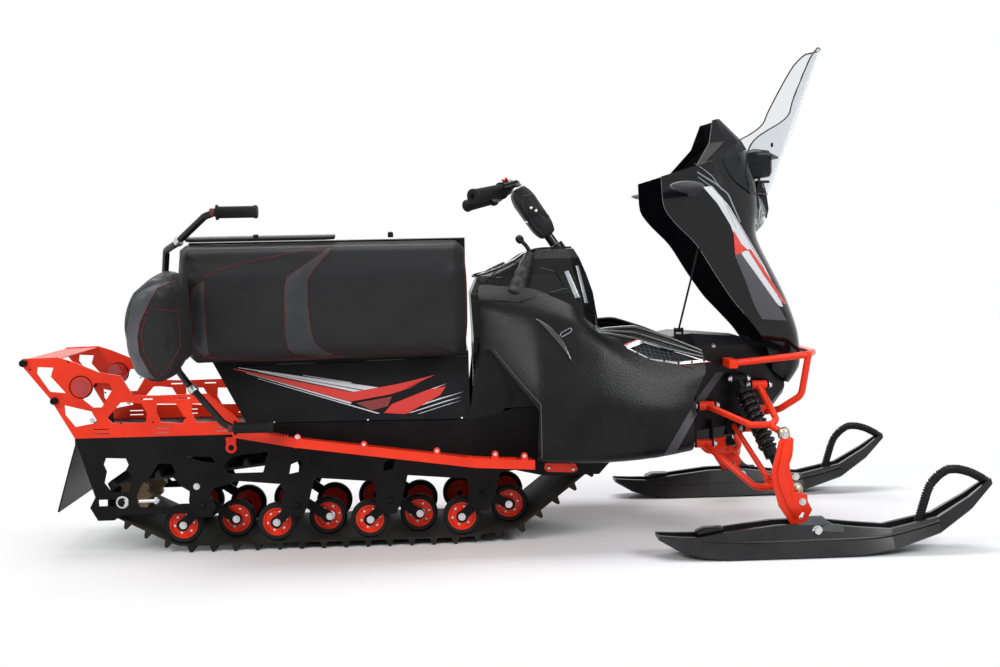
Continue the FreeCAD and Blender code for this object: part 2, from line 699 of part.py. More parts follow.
def half_ring(x, half, bottom, top):
    """Belly outline from the right-hand rim to the left-hand rim at one X."""
    chamfer = 0.3 * half
    return x, [(-half, top), (-half, bottom + chamfer), (-half + chamfer, bottom),
               (half - chamfer, bottom), (half, bottom + chamfer), (half, top)]


NOSE_STATIONS = (
    (size("tunnel_front") + size("seat_gap"), 196, 250, 556), (1063, 198, 262, 556), (1098, 146, 262, 556),
    (1250, 124, 286, 556), (1320, 96, 330, 544), (1385, 62, 402, 528),
)


def pan_side(x):
    """Half width of the belly pan at X."""
    return between(x, [station[:2] for station in NOSE_STATIONS])


def make_nose():
    outlines = [half_ring(*station) for station in NOSE_STATIONS]
    hull = panel(outlines, -size("panel_thickness"))
    x, half, bottom, top = NOSE_STATIONS[-1]
    front_outline = half_ring(x, half, bottom, top)[1]
    front = Part.Face(closed_wire([Vector(x, y, z) for y, z in front_outline]))
    hull = hull.fuse(front.extrude(Vector(-size("panel_thickness"), 0, 0)))
    for side in (-1, 1):
        inner, outer = sorted((side * 90, side * 220))
        hull = hull.cut(box(1188, 1236, inner, outer, 286, 350))
    feature("belly_pan", hull)
    cover = []
    rise = (0, 34, 34, 20, 10, 4)
    behind_cap = [(x, half, top) for x, half, _, top in NOSE_STATIONS[:-1]]
    behind_cap.append((x - size("panel_thickness") - size("seat_gap"), half, top))
    for (x, half, top), crown in zip(behind_cap, rise):
        line = [(-half + 4.3, top - 12), (-half + 4.3, top), (-0.6 * half, top + crown), (0.6 * half, top + crown),
                (half - 4.3, top), (half - 4.3, top - 12)]
        cover.append((x, line))
    feature("engine_bay_cover", panel(cover, 3))
    pieces = []
    pin, cap = HOOD_HINGE, NOSE_STATIONS[-1][0]
    for side in (-1, 1):
        inner, outer = sorted((side * 40, side * 48))
        arm = [(cap, 470), (cap, 518), (pin.x + 4, pin.z + 12), (pin.x + 4, pin.z - 12)]
        pieces.append(prism_y(arm, inner, outer).fuse(rod(pin + Vector(0, inner, 0), pin + Vector(0, outer, 0), 13)))
    shaft = rod(pin + Vector(0, -62, 0), pin + Vector(0, 62, 0), 5)
    feature("hood_hinge", pieces[0].fuse([pieces[1], shaft]))


def octagon(z, x_rear, x_front, half, chamfer):
    return [
        Vector(x_rear + chamfer, -half, z), Vector(x_front - chamfer, -half, z),
        Vector(x_front, -half + chamfer, z), Vector(x_front, half - chamfer, z),
        Vector(x_front - chamfer, half, z), Vector(x_rear + chamfer, half, z),
        Vector(x_rear, half - chamfer, z), Vector(x_rear, -half + chamfer, z),
    ]


def in_column(shape):
    """Put a shape drawn about Z on the raked steering column."""
    shape.Placement = Placement(COLUMN, COLUMN_TILT)
    return shape


COLUMN_FOOT = -110


def make_console():
    base = size("tunnel_front_height") + size("seat_gap")
    levels = (
        (base, 448, 800, 196, 30), (600, 446, 816, 196, 40), (721, 440, 800, 160, 40),
        (774, 464, 786, 122, 40), (822, 580, 768, 92, 30), (850, 622, 752, 68, 20),
    )
    wall = size("panel_thickness")
    inner = [(z, rear + wall, front - wall, half - wall, chamfer) for z, rear, front, half, chamfer in levels[:-1]]
    top, rear, front, half, chamfer = levels[-1]
    inner.append((top - wall, rear + wall, front - wall, half - wall, chamfer))
    solid = loft([octagon(*level) for level in levels]).cut(loft([octagon(*level) for level in inner]))
    boss = in_column(Part.makeCylinder(24, 60, Vector(0, 0, COLUMN_FOOT - 60)))
    feature("dash_console", solid.fuse(boss))


# Front suspension and bumper


def make_bumper():
    radius = size("bumper_radius")
    side = 212
    top = [
        Vector(1195, -side, 510), Vector(1418, -194, 528), Vector(1454, -120, 528),
        Vector(1454, 120, 528), Vector(1418, 194, 528), Vector(1195, side, 510),
    ]
    pieces = [tube(top, radius, 30)]
    for sign in (-1, 1):
        down = [
            Vector(1420, sign * 190, 526), Vector(1400, sign * 186, 408),
            Vector(1345, sign * 150, 364), Vector(1306, sign * (pan_side(1306) + 12), 352),
        ]
        pieces.append(tube(down, radius, 35))
        foot = sorted((sign * (pan_side(1290) + size("seat_gap")), sign * (pan_side(1306) + 24)))
        pieces.append(box(1290, 1314, foot[0], foot[1], 350, 374))
        ends = sorted((sign * (side + 12), sign * (pan_side(1180) + size("seat_gap"))))
        pieces.append(box(1180, 1204, ends[0], ends[1], 496, 520))
    feature("bumper", pieces[0].fuse(pieces[1:]))


def ball_housing(centre):
    half = size("ball_height") / 2
    return rod(centre - KINGPIN_AXIS * half, centre + KINGPIN_AXIS * half, size("ball_radius"))


PIVOT_HALF = 22
PIVOT_PIN = 5
UPPER_PIVOTS = (Vector(1123, -170, 383), Vector(1284, -150, 438))
LOWER_PIVOTS = (Vector(1114, -170, 272), Vector(1262, -150, 312))
SHOCK_TOP = Vector(1220, -170, 460)
SHOCK_BOTTOM = LOWER_BALL + Vector(-30, 52, 31)
SHOCK_EYE_HALF = 16


def pivot_bush(point):
    """Tube about X at the inner end of an arm, bored for its pivot pin."""
    reach = Vector(PIVOT_HALF, 0, 0)
    return rod(point - reach, point + reach, 13)


def pivot_bore(point):
    reach = Vector(PIVOT_HALF + 1, 0, 0)
    return rod(point - reach, point + reach, PIVOT_PIN + size("seat_gap"))


def make_arms():
    radius = size("arm_radius")
    rear, front = UPPER_PIVOTS
    outer_rear, outer_front = UPPER_BALL + Vector(-78, 50, 18), UPPER_BALL + Vector(-4, 32, 20)
    upper = tube([rear, outer_rear, outer_front, front], radius, 30)
    neck = rod(UPPER_BALL + Vector(-24, 40, 14), UPPER_BALL, radius)
    upper = upper.fuse([neck, ball_housing(UPPER_BALL), pivot_bush(rear), pivot_bush(front)])
    upper = upper.cut([pivot_bore(rear), pivot_bore(front)])
    pair("upper_arms", upper)
    rear, front = LOWER_PIVOTS
    outer_rear, outer_front = LOWER_BALL + Vector(-103, 44, 0), LOWER_BALL + Vector(10, 38, 0)
    lower = tube([rear, outer_rear, outer_front, front], radius, 30)
    neck = rod(LOWER_BALL + Vector(-9, 42, 1), LOWER_BALL, radius)
    eye_under = SHOCK_BOTTOM.z - 12 - size("seat_gap")
    foot = SHOCK_BOTTOM
    seat = box(foot.x - 11, foot.x + 11, foot.y - 16, foot.y + 4, LOWER_BALL.z, eye_under)
    lower = lower.fuse([neck, seat, ball_housing(LOWER_BALL), pivot_bush(rear), pivot_bush(front)])
    lower = lower.cut([pivot_bore(rear), pivot_bore(front)])
    pair("lower_arms", lower)


def make_shocks():
    """Damper with a grooved spring, an eye at each end."""
    spring = size("shock_spring_radius")
    length = (SHOCK_BOTTOM - SHOCK_TOP).Length
    profile = [(0, 6), (10, 6), (10, 34), (spring, 36)]
    start, end = 40, length - 90
    turns = 9
    pitch = (end - start) / turns
    for number in range(turns):
        z = start + number * pitch
        coil = [(spring, 0.5), (spring - 7, 0.62), (spring - 7, 0.88), (spring, 1)]
        profile += [(radius, z + share * pitch) for radius, share in coil]
    profile += [
        (spring, end + 4), (20, end + 8), (20, end + 34), (11, end + 36), (11, length - 6), (0, length - 6),
    ]
    face = Part.Face(closed_wire([Vector(radius, 0, z) for radius, z in profile]))
    damper = face.revolve(Vector(0, 0, 0), Vector(0, 0, 1), 360)
    damper.Placement = Placement(SHOCK_TOP, Rotation(Vector(0, 0, 1), SHOCK_BOTTOM - SHOCK_TOP))
    reach = Vector(SHOCK_EYE_HALF, 0, 0)
    eyes = [rod(centre - reach, centre + reach, 12) for centre in (SHOCK_TOP, SHOCK_BOTTOM)]
    bore = rod(SHOCK_TOP - reach * 2, SHOCK_TOP + reach * 2, PIVOT_PIN + size("seat_gap"))
    pair("shocks", damper.fuse(eyes).cut(bore))


def clevis(point, half, above, below):
    """Two plates from the belly pan out to a pivot pin about X."""
    thickness = 5
    pieces = []
    gap = size("seat_gap")
    for x in (point.x - half - gap - thickness, point.x + half + gap):
        inner = -(pan_side(x) + gap)
        pieces.append(box(x, x + thickness, point.y - 10, inner, point.z - below, point.z + above))
    reach = Vector(half + gap + thickness + 4, 0, 0)
    pieces.append(rod(point - reach, point + reach, PIVOT_PIN))
    return pieces[0].fuse(pieces[1:])


def make_brackets():
    """Clevises on the belly pan that carry the arms and the shocks."""
    rear, front = UPPER_PIVOTS
    low_rear, low_front = LOWER_PIVOTS
    pieces = [
        clevis(rear, PIVOT_HALF, 14, 14), clevis(front, PIVOT_HALF, 14, 14),
        clevis(low_rear, PIVOT_HALF, 66, 11), clevis(low_front, PIVOT_HALF, 30, 11),
        clevis(SHOCK_TOP, SHOCK_EYE_HALF, 14, 8),
    ]
    pair("suspension_brackets", Part.makeCompound(pieces))


def in_kingpin(shape):
    """Put a shape drawn about Z on the right-hand king pin, Z = 0 at the lower ball."""
    shape.Placement = Placement(LOWER_BALL, KINGPIN_TILT)
    return shape


ARM_LEVEL = 46
JOINT_GAP = 0.5


def make_spindles():
    plate_y = -(size("kingpin_side") + size("spindle_offset"))
    bolt_x, bolt_z = SKI_BOLT_X, size("ski_bolt_height")
    bolt_lead, bolt_drop = bolt_x - LOWER_BALL.x, bolt_z - LOWER_BALL.z
    outline = [
        (-60, 144), (-51, 153), (-21, 149), (-22, 123), (-24, 103), (-32, 81), (-30, 59), (-21, 31),
        (-17, 1), (16, -5), (19, -26), (31, -49), (21, -67), (45, -99), (bolt_lead + 22, bolt_drop - 14),
        (bolt_lead - 22, bolt_drop - 14), (-21, -99), (-62, -37), (-79, 35), (-82, 59), (-72, 95),
    ]
    body = doc.addObject("PartDesign::Body", "spindle_plate")
    sketch = body.newObject("Sketcher::SketchObject", "spindle_outline")
    sketch.AttachmentSupport = (plane(body, "XZ_Plane"), "")
    sketch.MapMode = "FlatFace"
    sketch.AttachmentOffset = Placement(Vector(LOWER_BALL.x, LOWER_BALL.z, -plate_y), Rotation())
    window = [(-5, -53), (11, -57), (5, -77), (-7, -73)]
    draw_loops(sketch, [outline, window])
    pad = body.newObject("PartDesign::Pad", "spindle_pad")
    pad.Profile = sketch
    pad.setExpression("Length", "Sizes.spindle_thickness")
    body.Tip = pad
    doc.recompute()
    half_ball = size("ball_height") / 2 + JOINT_GAP
    reach = size("spindle_offset") + 2
    pieces = []
    for level, way in ((size("kingpin_length") - half_ball, -1), (-half_ball, -1)):
        disc = Part.makeCylinder(12, 12, Vector(0, 0, level - 12))
        strap = box(-12, 12, -reach, 0, level - 12, level)
        pieces.append(in_kingpin(disc.fuse(strap)))
    arm_x = -size("steering_arm_length")
    eye = Part.makeCylinder(11, 8, Vector(arm_x, 0, ARM_LEVEL - 8))
    link = box(arm_x - 4, arm_x + 18, -reach, 0, ARM_LEVEL - 8, ARM_LEVEL)
    pieces.append(in_kingpin(eye.fuse(link)))
    foot = box(bolt_x - 26, bolt_x + 20, plate_y - 40, plate_y, bolt_z - 12, bolt_z + 14)
    solid = body.Shape.fuse(pieces + [foot])
    hole = rod(Vector(bolt_x, plate_y - 60, bolt_z), Vector(bolt_x, plate_y + 20, bolt_z), 6.3)
    right = feature("spindle_right", solid.cut(hole).removeSplitter())
    mirrored("spindle_left", right)


TIE_ROD_INNER = Vector(1206, -118, 330)


def make_tie_rods():
    """Tube with a rod end that lies on the steering arm's eye."""
    level = ARM_LEVEL + JOINT_GAP
    eye = in_kingpin(Part.makeCylinder(11, 14, Vector(-size("steering_arm_length"), 0, level)))
    middle = KINGPIN_TILT.multVec(Vector(-size("steering_arm_length"), 0, level + 7)) + LOWER_BALL
    right = feature("tie_rod_right", rod(TIE_ROD_INNER, middle, 8).fuse(eye))
    mirrored("tie_rod_left", right)


def ski_ring(x, half, bottom, ridge, crest, channel, floor):
    """Ski section: flat sole, sloped flanks, two ridges and the channel between them."""
    middle = -(size("kingpin_side") + size("ski_offset"))
    points = [
        (-half, bottom + 6), (-half + 8, bottom), (half - 8, bottom), (half, bottom + 6), (ridge, crest),
        (channel, crest), (channel, floor), (-channel, floor), (-channel, crest), (-ridge, crest),
    ]
    return [Vector(SKI_BOLT_X + x, middle + y, z) for y, z in points]


def make_skis():
    stations = (
        (-431, 34, 54, 28, 66, 18, 64), (-376, 52, 24, 34, 62, 24, 44), (-321, 62, 8, 38, 60, 28, 24),
        (-251, 68, 0, 40, 72, 28, 18), (-111, 70, 0, 42, 88, 28, 16), (0, 70, 0, 42, 90, 28, 16),
        (119, 70, 2, 42, 76, 28, 20), (207, 68, 14, 40, 68, 26, 34), (339, 62, 56, 36, 96, 22, 72),
        (429, 50, 116, 28, 148, 16, 130), (495, 26, 176, 16, 196, 8, 188),
    )
    sole = loft([ski_ring(*station) for station in stations])
    middle = -(size("kingpin_side") + size("ski_offset"))
    route = [(291, 52), (329, 178), (379, 226), (445, 212), (491, 186)]
    handle = tube([Vector(SKI_BOLT_X + x, middle, z) for x, z in route], 10, 30)
    bolt_x, bolt_z = SKI_BOLT_X, size("ski_bolt_height")
    bolt = rod(Vector(bolt_x, middle - 46, bolt_z), Vector(bolt_x, middle + 46, bolt_z), 6)
    right = feature("ski_right", sole.fuse([handle, bolt]))
    mirrored("ski_left", right)


# Steering


def make_steering():
    low, high = COLUMN_FOOT + size("seat_gap"), 107.6
    shaft = Part.makeCylinder(14, high - low, Vector(0, 0, low))
    rings = []
    for z, depth, half in ((-78, 26, 40), (-50, 32, 52), (60, 32, 66), (96, 24, 58)):
        corners = ((-depth, -half), (depth, -half), (depth, half), (-depth, half))
        rings.append([Vector(x, y, z) for x, y in corners])
    feature("steering_column", in_column(shaft.fuse(loft(rings))))
    bends = ((-74, -70, 93), (-89, -190, 77), (-101, -252, 64), (-193, -366, 43.5))
    right_half = [COLUMN + Vector(*bend) for bend in bends]
    left_half = [Vector(point.x, -point.y, point.z) for point in right_half]
    bar = tube(left_half[::-1] + right_half, size("bar_radius"), 25)
    feature("handlebar", bar)
    towards = (right_half[-1] - right_half[-2]).normalize()
    start = right_half[-2] + towards * 12
    grip = rod(start, right_half[-1] + towards * 3, size("grip_radius"))
    grip = grip.cut(rod(start - towards, right_half[-1], size("bar_radius")))
    pair("handlebar_grips", grip)
    inward = (right_half[-3] - right_half[-2]).normalize()
    clamp_start = right_half[-2] + inward * 14
    clamp = rod(clamp_start, clamp_start + inward * 34, 19)
    clamp = clamp.cut(rod(clamp_start - inward, clamp_start + inward * 36, size("bar_radius")))
    post = clamp_start + inward * 17 + Vector(16, 0, 9)
    lever = tube([post, post + Vector(22, -10, 4), post + Vector(10, -70, 6), post + Vector(-28, -124, -6)], 4.5, 15)
    pair("hand_controls", clamp.fuse(lever))


# Hood


def on_hood(label, shape):
    """Feature of a shape that is drawn from the hood's hinge axis."""
    shape.translate(HOOD_HINGE)
    return feature(label, shape)


def shell_ring(rim, ridge, side):
    """Closed ring of one section that leans from rim to ridge.

    The side lists the outer outline as (distance across, distance from the rim)."""
    rim, ridge = Vector(rim[0], 0, rim[1]), Vector(ridge[0], 0, ridge[1])
    up = (ridge - rim).normalize()
    outer = [(-across, along) for across, along in side] + list(side[::-1])
    inner = offset_line(outer, size("panel_thickness"))
    return [rim + Vector(0, a, 0) + up * b for a, b in outer + inner[::-1]]


def hood_side(rim, ridge, half, shoulder, ridge_half):
    """Side outline of one hood section."""
    depth = math.hypot(ridge[0] - rim[0], ridge[1] - rim[1])
    return [(half, 0), (half * 0.99, 0.45 * depth), (shoulder, 0.8 * depth), (ridge_half, depth)]


def make_hood():
    half = size("hood_half_width")
    stations = (
        ((-58, -28), (-1, -69), 92, 84, 60), ((-70, 5), (34, -18), 118, 104, 72),
        ((-92, 48), (30, 31), 148, 128, 82), ((-116, 90), (21, 96), 172, 148, 88),
        ((-164, 146), (-13, 189), 196, 160, 92), ((-204, 190), (-48, 260), half - 6, 168, 94),
        ((-258, 270), (-88, 336), half, 172, 94), ((-310, 356), (-108, 384), half, 172, 92),
        ((-370, 414), (-94, 460), half, 168, 96), ((-406, 460), (-100, 540), half, 160, 96),
        ((-410, 550), (-132, 630), half - 6, 150, 88),
    )
    shell = loft([shell_ring(*station[:2], hood_side(*station)) for station in stations])
    ears = []
    for side in (-1, 1):
        near, far = sorted((side * 52, side * 60))
        ear = prism_y([(-12, -8), (33, -14), (30, 24), (0, 14)], near, far)
        ear = ear.fuse(rod(Vector(0, near, 0), Vector(0, far, 0), 14))
        ears.append(ear.cut(rod(Vector(0, near - 1, 0), Vector(0, far + 1, 0), 5.3)))
    brackets = [box(-116, -52.8, y - 12, y + 12, 532, 544) for y in (-40, 40)]
    on_hood("hood_shell", shell.fuse(ears + brackets))
    rim, ridge = stations[-1][:2]
    lift = Vector(ridge[0] - rim[0], 0, ridge[1] - rim[1]).normalize().cross(Vector(0, 1, 0)) * size("seat_gap")
    edge = hood_side(*stations[-1])
    start = 0.37 * edge[-1][1]
    share = start / edge[1][1]
    first = (edge[0][0] + (edge[1][0] - edge[0][0]) * share, start)
    foot = [point + lift for point in shell_ring(rim, ridge, [first] + edge[1:])]
    middle = shell_ring((-254, 648), (-142, 660), [(132, 0), (130, 46), (104, 90), (64, 112)])
    top = shell_ring((-234, 719), (-204, 726), [(88, 0), (86, 12), (70, 22), (50, 30)])
    on_hood("instrument_shroud", loft([foot, middle, top]))


def make_headlamp():
    """Clear lens over the front of the hood, with the scoop above it."""
    rings = []
    ridge = [(384, -108), (460, -94), (540, -100)]
    lens = ((-94, 388, 54), (-78, 410, 84), (-69, 442, 88), (-73, 460, 86), (-81, 485, 80), (-89, 508, 54))
    for x, z, half in lens:
        back = between(z, ridge) + 0.5
        corners = ((back, -half), (x, -half * 0.8), (x, half * 0.8), (back, half))
        rings.append([Vector(ahead, y, z) for ahead, y in corners])
    on_hood("headlamp", loft(rings))


def windshield_ring(z, crown, edge, half):
    """Bowed strip of glass at one height."""
    count = 8
    outer = []
    for index in range(count + 1):
        share = -1 + 2 * index / count
        outer.append((share * half, crown - (crown - edge) * share * share))
    inner = offset_line(outer, size("glass_thickness"))
    return [Vector(x, y, z) for y, x in outer + inner[::-1]]


def make_windshield():
    levels = (
        (500, -50, -138, 150), (560, -26, -160, 188), (650, 9, -138, 196), (715, 34, -28, 150),
        (762, 52, -8, 132), (900, 103, 62, 88), (930, 114, 90, 64),
    )
    on_hood("windshield", loft([windshield_ring(*level) for level in levels]))


def make_mirrors():
    rings = []
    for y, x_rear, x_front, z, depth in (
        (-size("hood_half_width") + 1.8, -340, -308, 504, 9), (-250, -360, -300, 508, 12),
        (-330, -415, -308, 516, 13), (-372, -400, -340, 520, 8),
    ):
        middle = (x_rear + x_front) / 2
        under = [(x_rear, z - depth / 2), (middle, z - depth), (x_front, z - depth / 2)]
        over = [(x_front, z + depth / 2), (middle, z + depth), (x_rear, z + depth / 2)]
        rings.append(xz(under + over, y))
    right = on_hood("mirrors_right_side", loft(rings))
    compound("mirrors", [right, mirrored("mirrors_left_side", right)])


PROP_BASE = Vector(1045, -160, 606)
PROP_TIP = HOOD_HINGE + Vector(-288, -203.5, 403)


def make_prop_rod():
    radius = size("rod_radius")
    shaft = rod(PROP_BASE, PROP_TIP, radius)
    eye = rod(PROP_BASE - Vector(8, 0, 0), PROP_BASE + Vector(8, 0, 0), 6)
    feature("prop_rod", shaft.fuse(eye))
    base = PROP_BASE
    ears = []
    for side in (-1, 1):
        near, far = sorted((side * 9, side * 13))
        ears.append(box(base.x + near, base.x + far, base.y - 8, base.y + 8, 575, base.z + 7))
    foot = box(base.x - 13, base.x + 13, base.y - 8, base.y + 8, 575, 595)
    feature("prop_bracket", foot.fuse(ears))


# Seat, drawn closed and swung open about its hinge


def swing_open(item):
    """Turn a closed-seat object about the hinge to its place in the photograph."""
    turn = Rotation(Vector(1, 0, 0), size("seat_open_angle"))
    hinge = Vector(0, HINGE_Y, HINGE_Z)
    item.Placement = Placement(Vector(0, 0, 0), turn, hinge)
    return item


def seat_point(x, across, height):
    """Point of the closed seat from the hinge axis: along X, across it and above it."""
    return Vector(x, HINGE_Y + across, HINGE_Z + height)


def make_seat():
    low = size("seat_base_lift")
    base_top = low + size("seat_base_thickness")
    front, rear, width = size("seat_front"), -size("seat_rear"), size("seat_width")
    plate = Part.makeBox(front - rear - 30, width - 6, base_top - low, seat_point(rear + 30, -4, low))
    pieces = []
    half = KNUCKLE_LENGTH / 2
    for x in KNUCKLE_PLACES:
        for side in (-1, 1):
            start = x + side * (half + 0.5)
            end = start + side * KNUCKLE_LENGTH
            left, right = sorted((start, end))
            knuckle = rod(seat_point(left, 0, 0), seat_point(right, 0, 0), KNUCKLE_RADIUS)
            bore = rod(seat_point(left - 1, 0, 0), seat_point(right + 1, 0, 0), 2.3)
            leaf = Part.makeBox(right - left, 6, 3, seat_point(left, -3, 3))
            pieces.append(knuckle.fuse(leaf).cut(bore))
    swing_open(feature("seat_base", plate.fuse(pieces)))
    gap = size("seat_gap")
    top = base_top + gap + size("seat_height")
    outline = [
        (-4, base_top + gap), (width - 4, base_top + gap), (width, top - 32),
        (width - 22, top), (18, top), (-8, top - 32),
    ]
    stations = (
        (front + 6, 40, 26), (front - 24, 0, 0), (60, -1, 0), (-20, -7, 0), (rear + 26, -7, 0), (rear, 30, 20),
    )
    rings = []
    for x, drop, inset in stations:
        ring = []
        for across, height in outline:
            pull = inset if across < width / 2 else -inset
            ring.append(seat_point(x, across + pull, height if height < top - 40 else height - drop))
        rings.append(ring)
    swing_open(feature("seat_cushion", loft(rings)))


BACKREST_LOW, BACKREST_TOP = 121, 332


def make_backrest():
    outline = [
        (-334, 44), (-334, 304), (-384, 320), (-444, 286), (-470, 200), (-466, 130), (-446, 54), (-394, 18),
    ]
    middle = size("seat_width") / 2 - 4
    levels = ((BACKREST_LOW, 24, 0.86), (BACKREST_LOW + 40, 16, 0.97), (275, 0, 1), (BACKREST_TOP, -8, 0.86))
    rings = []
    for height, shift, shrink in levels:
        ring = []
        for x, across in outline:
            ring.append(seat_point(-400 + (x + 400) * shrink + shift, middle + (across - middle) * shrink, height))
        rings.append(ring)
    swing_open(feature("backrest", loft(rings)))


def make_passenger_handle():
    radius = size("handle_tube_radius")
    middle = size("seat_width") / 2 - 4
    span, height = size("handle_span"), size("handle_height")
    rear_height = 62
    half_route = [
        (-222, span, height), (-250, span - 12, height - 10), (-344, span - 100, 142),
        (-380, span - 128, 100), (-398, 96, rear_height),
    ]
    right = [seat_point(x, middle - across, up) for x, across, up in half_route]
    left = [seat_point(x, middle + across, up) for x, across, up in half_route]
    grip_end = -112
    start = [seat_point(grip_end - 4, middle - span, height)]
    end = [seat_point(grip_end - 4, middle + span, height)]
    frame = tube(start + right + left[::-1] + end, radius, 28)
    pieces = []
    for across in (-60, 60):
        foot = seat_point(-396, middle + across, rear_height)
        pieces.append(rod(foot, seat_point(-386, middle + across, BACKREST_LOW - 1.2), 6))
        strap_low = size("seat_base_lift") + size("seat_base_thickness") - 8.3
        pieces.append(Part.makeBox(64, 24, 4, seat_point(-402, middle + across - 12, strap_low)))
        pieces.append(rod(seat_point(-396, middle + across, size("seat_base_lift")), foot, 7))
    swing_open(feature("passenger_handle", frame.fuse(pieces)))
    grips = []
    for side in (-1, 1):
        front = seat_point(grip_end, middle + side * span, height)
        back = seat_point(grip_end - 106, middle + side * span, height)
        hollow = rod(back - Vector(1, 0, 0), front - Vector(3, 0, 0), radius + 0.1)
        grips.append(rod(back, front, size("grip_radius")).cut(hollow))
    swing_open(feature("passenger_grips", Part.makeCompound(grips)))


NODES = (
    "track", "roller_tyres", "roller_discs", "bogie_arms", "sprockets", "axles", "side_plate_right",
    "side_plate_left", "tunnel_roof", "mud_flap", "storage_box", "seat_hinge", "rack_side_right",
    "rack_side_left", "rack_rods", "rack_tail_panel", "tail_lamps", "tow_hitch", "running_board_right",
    "running_board_left", "side_cowl_right", "side_cowl_left", "vent_grilles", "engine", "belly_pan",
    "engine_bay_cover", "hood_hinge", "dash_console", "bumper", "upper_arms", "lower_arms", "shocks",
    "suspension_brackets", "prop_bracket", "spindle_right", "spindle_left", "tie_rod_right",
    "tie_rod_left", "ski_right", "ski_left", "steering_column", "handlebar", "handlebar_grips",
    "hand_controls", "hood_shell", "instrument_shroud", "headlamp", "windshield", "mirrors", "prop_rod",
    "seat_base", "seat_cushion", "backrest", "passenger_handle", "passenger_grips",
)


def check_document():
    """Stop if an object failed to build."""
    for item in doc.Objects:
        if "Invalid" in item.State or "Error" in item.State:
            raise RuntimeError("%s did not build: %s" % (item.Name, item.State))
    for name in NODES:
        shape = doc.getObjectsByLabel(name)[0].Shape
        if shape.isNull() or not shape.isValid() or shape.Volume <= 0:
            raise RuntimeError("%s has no valid solid" % name)


def main():
    make_track()
    make_rollers()
    make_bogies()
    make_axles()
    make_chassis()
    make_storage_box()
    make_seat_hinge()
    make_rack()
    make_hitch()
    make_running_boards()
    make_cowls()
    make_engine()
    make_nose()
    make_console()
    make_bumper()
    make_arms()
    make_shocks()
    make_brackets()
    make_spindles()
    make_tie_rods()
    make_skis()
    make_steering()
    make_hood()
    make_headlamp()
    make_windshield()
    make_mirrors()
    make_prop_rod()
    make_seat()
    make_backrest()
    make_passenger_handle()
    doc.recompute()
    check_document()
    os.makedirs("parts", exist_ok=True)
    for name in NODES:
        doc.getObjectsByLabel(name)[0].Shape.exportStep("parts/%s.step" % name)
    print(len(NODES), "parts written")


main()
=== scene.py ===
import json
import math

import bpy
from mathutils import Matrix, Vector
from mathutils.bvhtree import BVHTree


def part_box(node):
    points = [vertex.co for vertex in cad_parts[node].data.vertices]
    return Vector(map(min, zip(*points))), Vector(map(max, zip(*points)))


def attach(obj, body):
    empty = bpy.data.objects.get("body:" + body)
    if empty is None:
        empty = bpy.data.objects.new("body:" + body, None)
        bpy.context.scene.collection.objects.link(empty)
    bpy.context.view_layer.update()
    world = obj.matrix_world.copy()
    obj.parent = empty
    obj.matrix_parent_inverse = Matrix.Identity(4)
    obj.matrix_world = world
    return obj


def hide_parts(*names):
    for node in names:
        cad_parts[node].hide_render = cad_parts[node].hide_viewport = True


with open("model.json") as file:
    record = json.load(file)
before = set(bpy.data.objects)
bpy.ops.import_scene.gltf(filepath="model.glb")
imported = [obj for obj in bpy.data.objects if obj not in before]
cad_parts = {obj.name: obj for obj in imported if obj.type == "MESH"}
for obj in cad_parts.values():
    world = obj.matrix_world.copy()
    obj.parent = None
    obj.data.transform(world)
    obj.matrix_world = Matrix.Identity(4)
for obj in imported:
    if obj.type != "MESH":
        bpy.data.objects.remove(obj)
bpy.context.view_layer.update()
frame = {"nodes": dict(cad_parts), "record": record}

NODES = frame["nodes"]
MM = 0.001


# Shader nodes


def add(paint, kind, **values):
    """One node with its settings and its unlinked sockets filled in."""
    node = paint.node_tree.nodes.new("ShaderNode" + kind)
    for key, value in values.items():
        if key in node.inputs:
            node.inputs[key].default_value = value
        else:
            setattr(node, key, value)
    return node


def join_up(paint, *pairs):
    """Link each pair of an output and an input."""
    for source, target in pairs:
        paint.node_tree.links.new(source, target)


def body_of(paint):
    """The principled shader of a material."""
    return paint.node_tree.nodes["Principled BSDF"]


def plain_view(paint):
    """One for rays that see the backdrop: from the camera, off gloss and through glass."""
    path = add(paint, "LightPath")
    first = add(paint, "Math", operation="MAXIMUM")
    both = add(paint, "Math", operation="MAXIMUM")
    join_up(
        paint,
        (path.outputs["Is Camera Ray"], first.inputs[0]),
        (path.outputs["Is Transmission Ray"], first.inputs[1]),
        (first.outputs[0], both.inputs[0]),
        (path.outputs["Is Glossy Ray"], both.inputs[1]),
    )
    return both.outputs[0]


# Camera, light and floor


# Places and lengths in the picture are in its pixels: it is 1000 wide and 667 high.
PICTURE_WIDTH = 1000
PICTURE_MIDDLE = (500, 333.5)
FOCAL_LENGTH = 1220
SENSOR_WIDTH = 36
CAMERA_PLACE = (0.3541, -3.6864, 0.8557)
CAMERA_TURN = math.radians(2.738)
CAMERA_DIP = math.radians(4.012)
CAMERA_ROLL = math.radians(1.159)


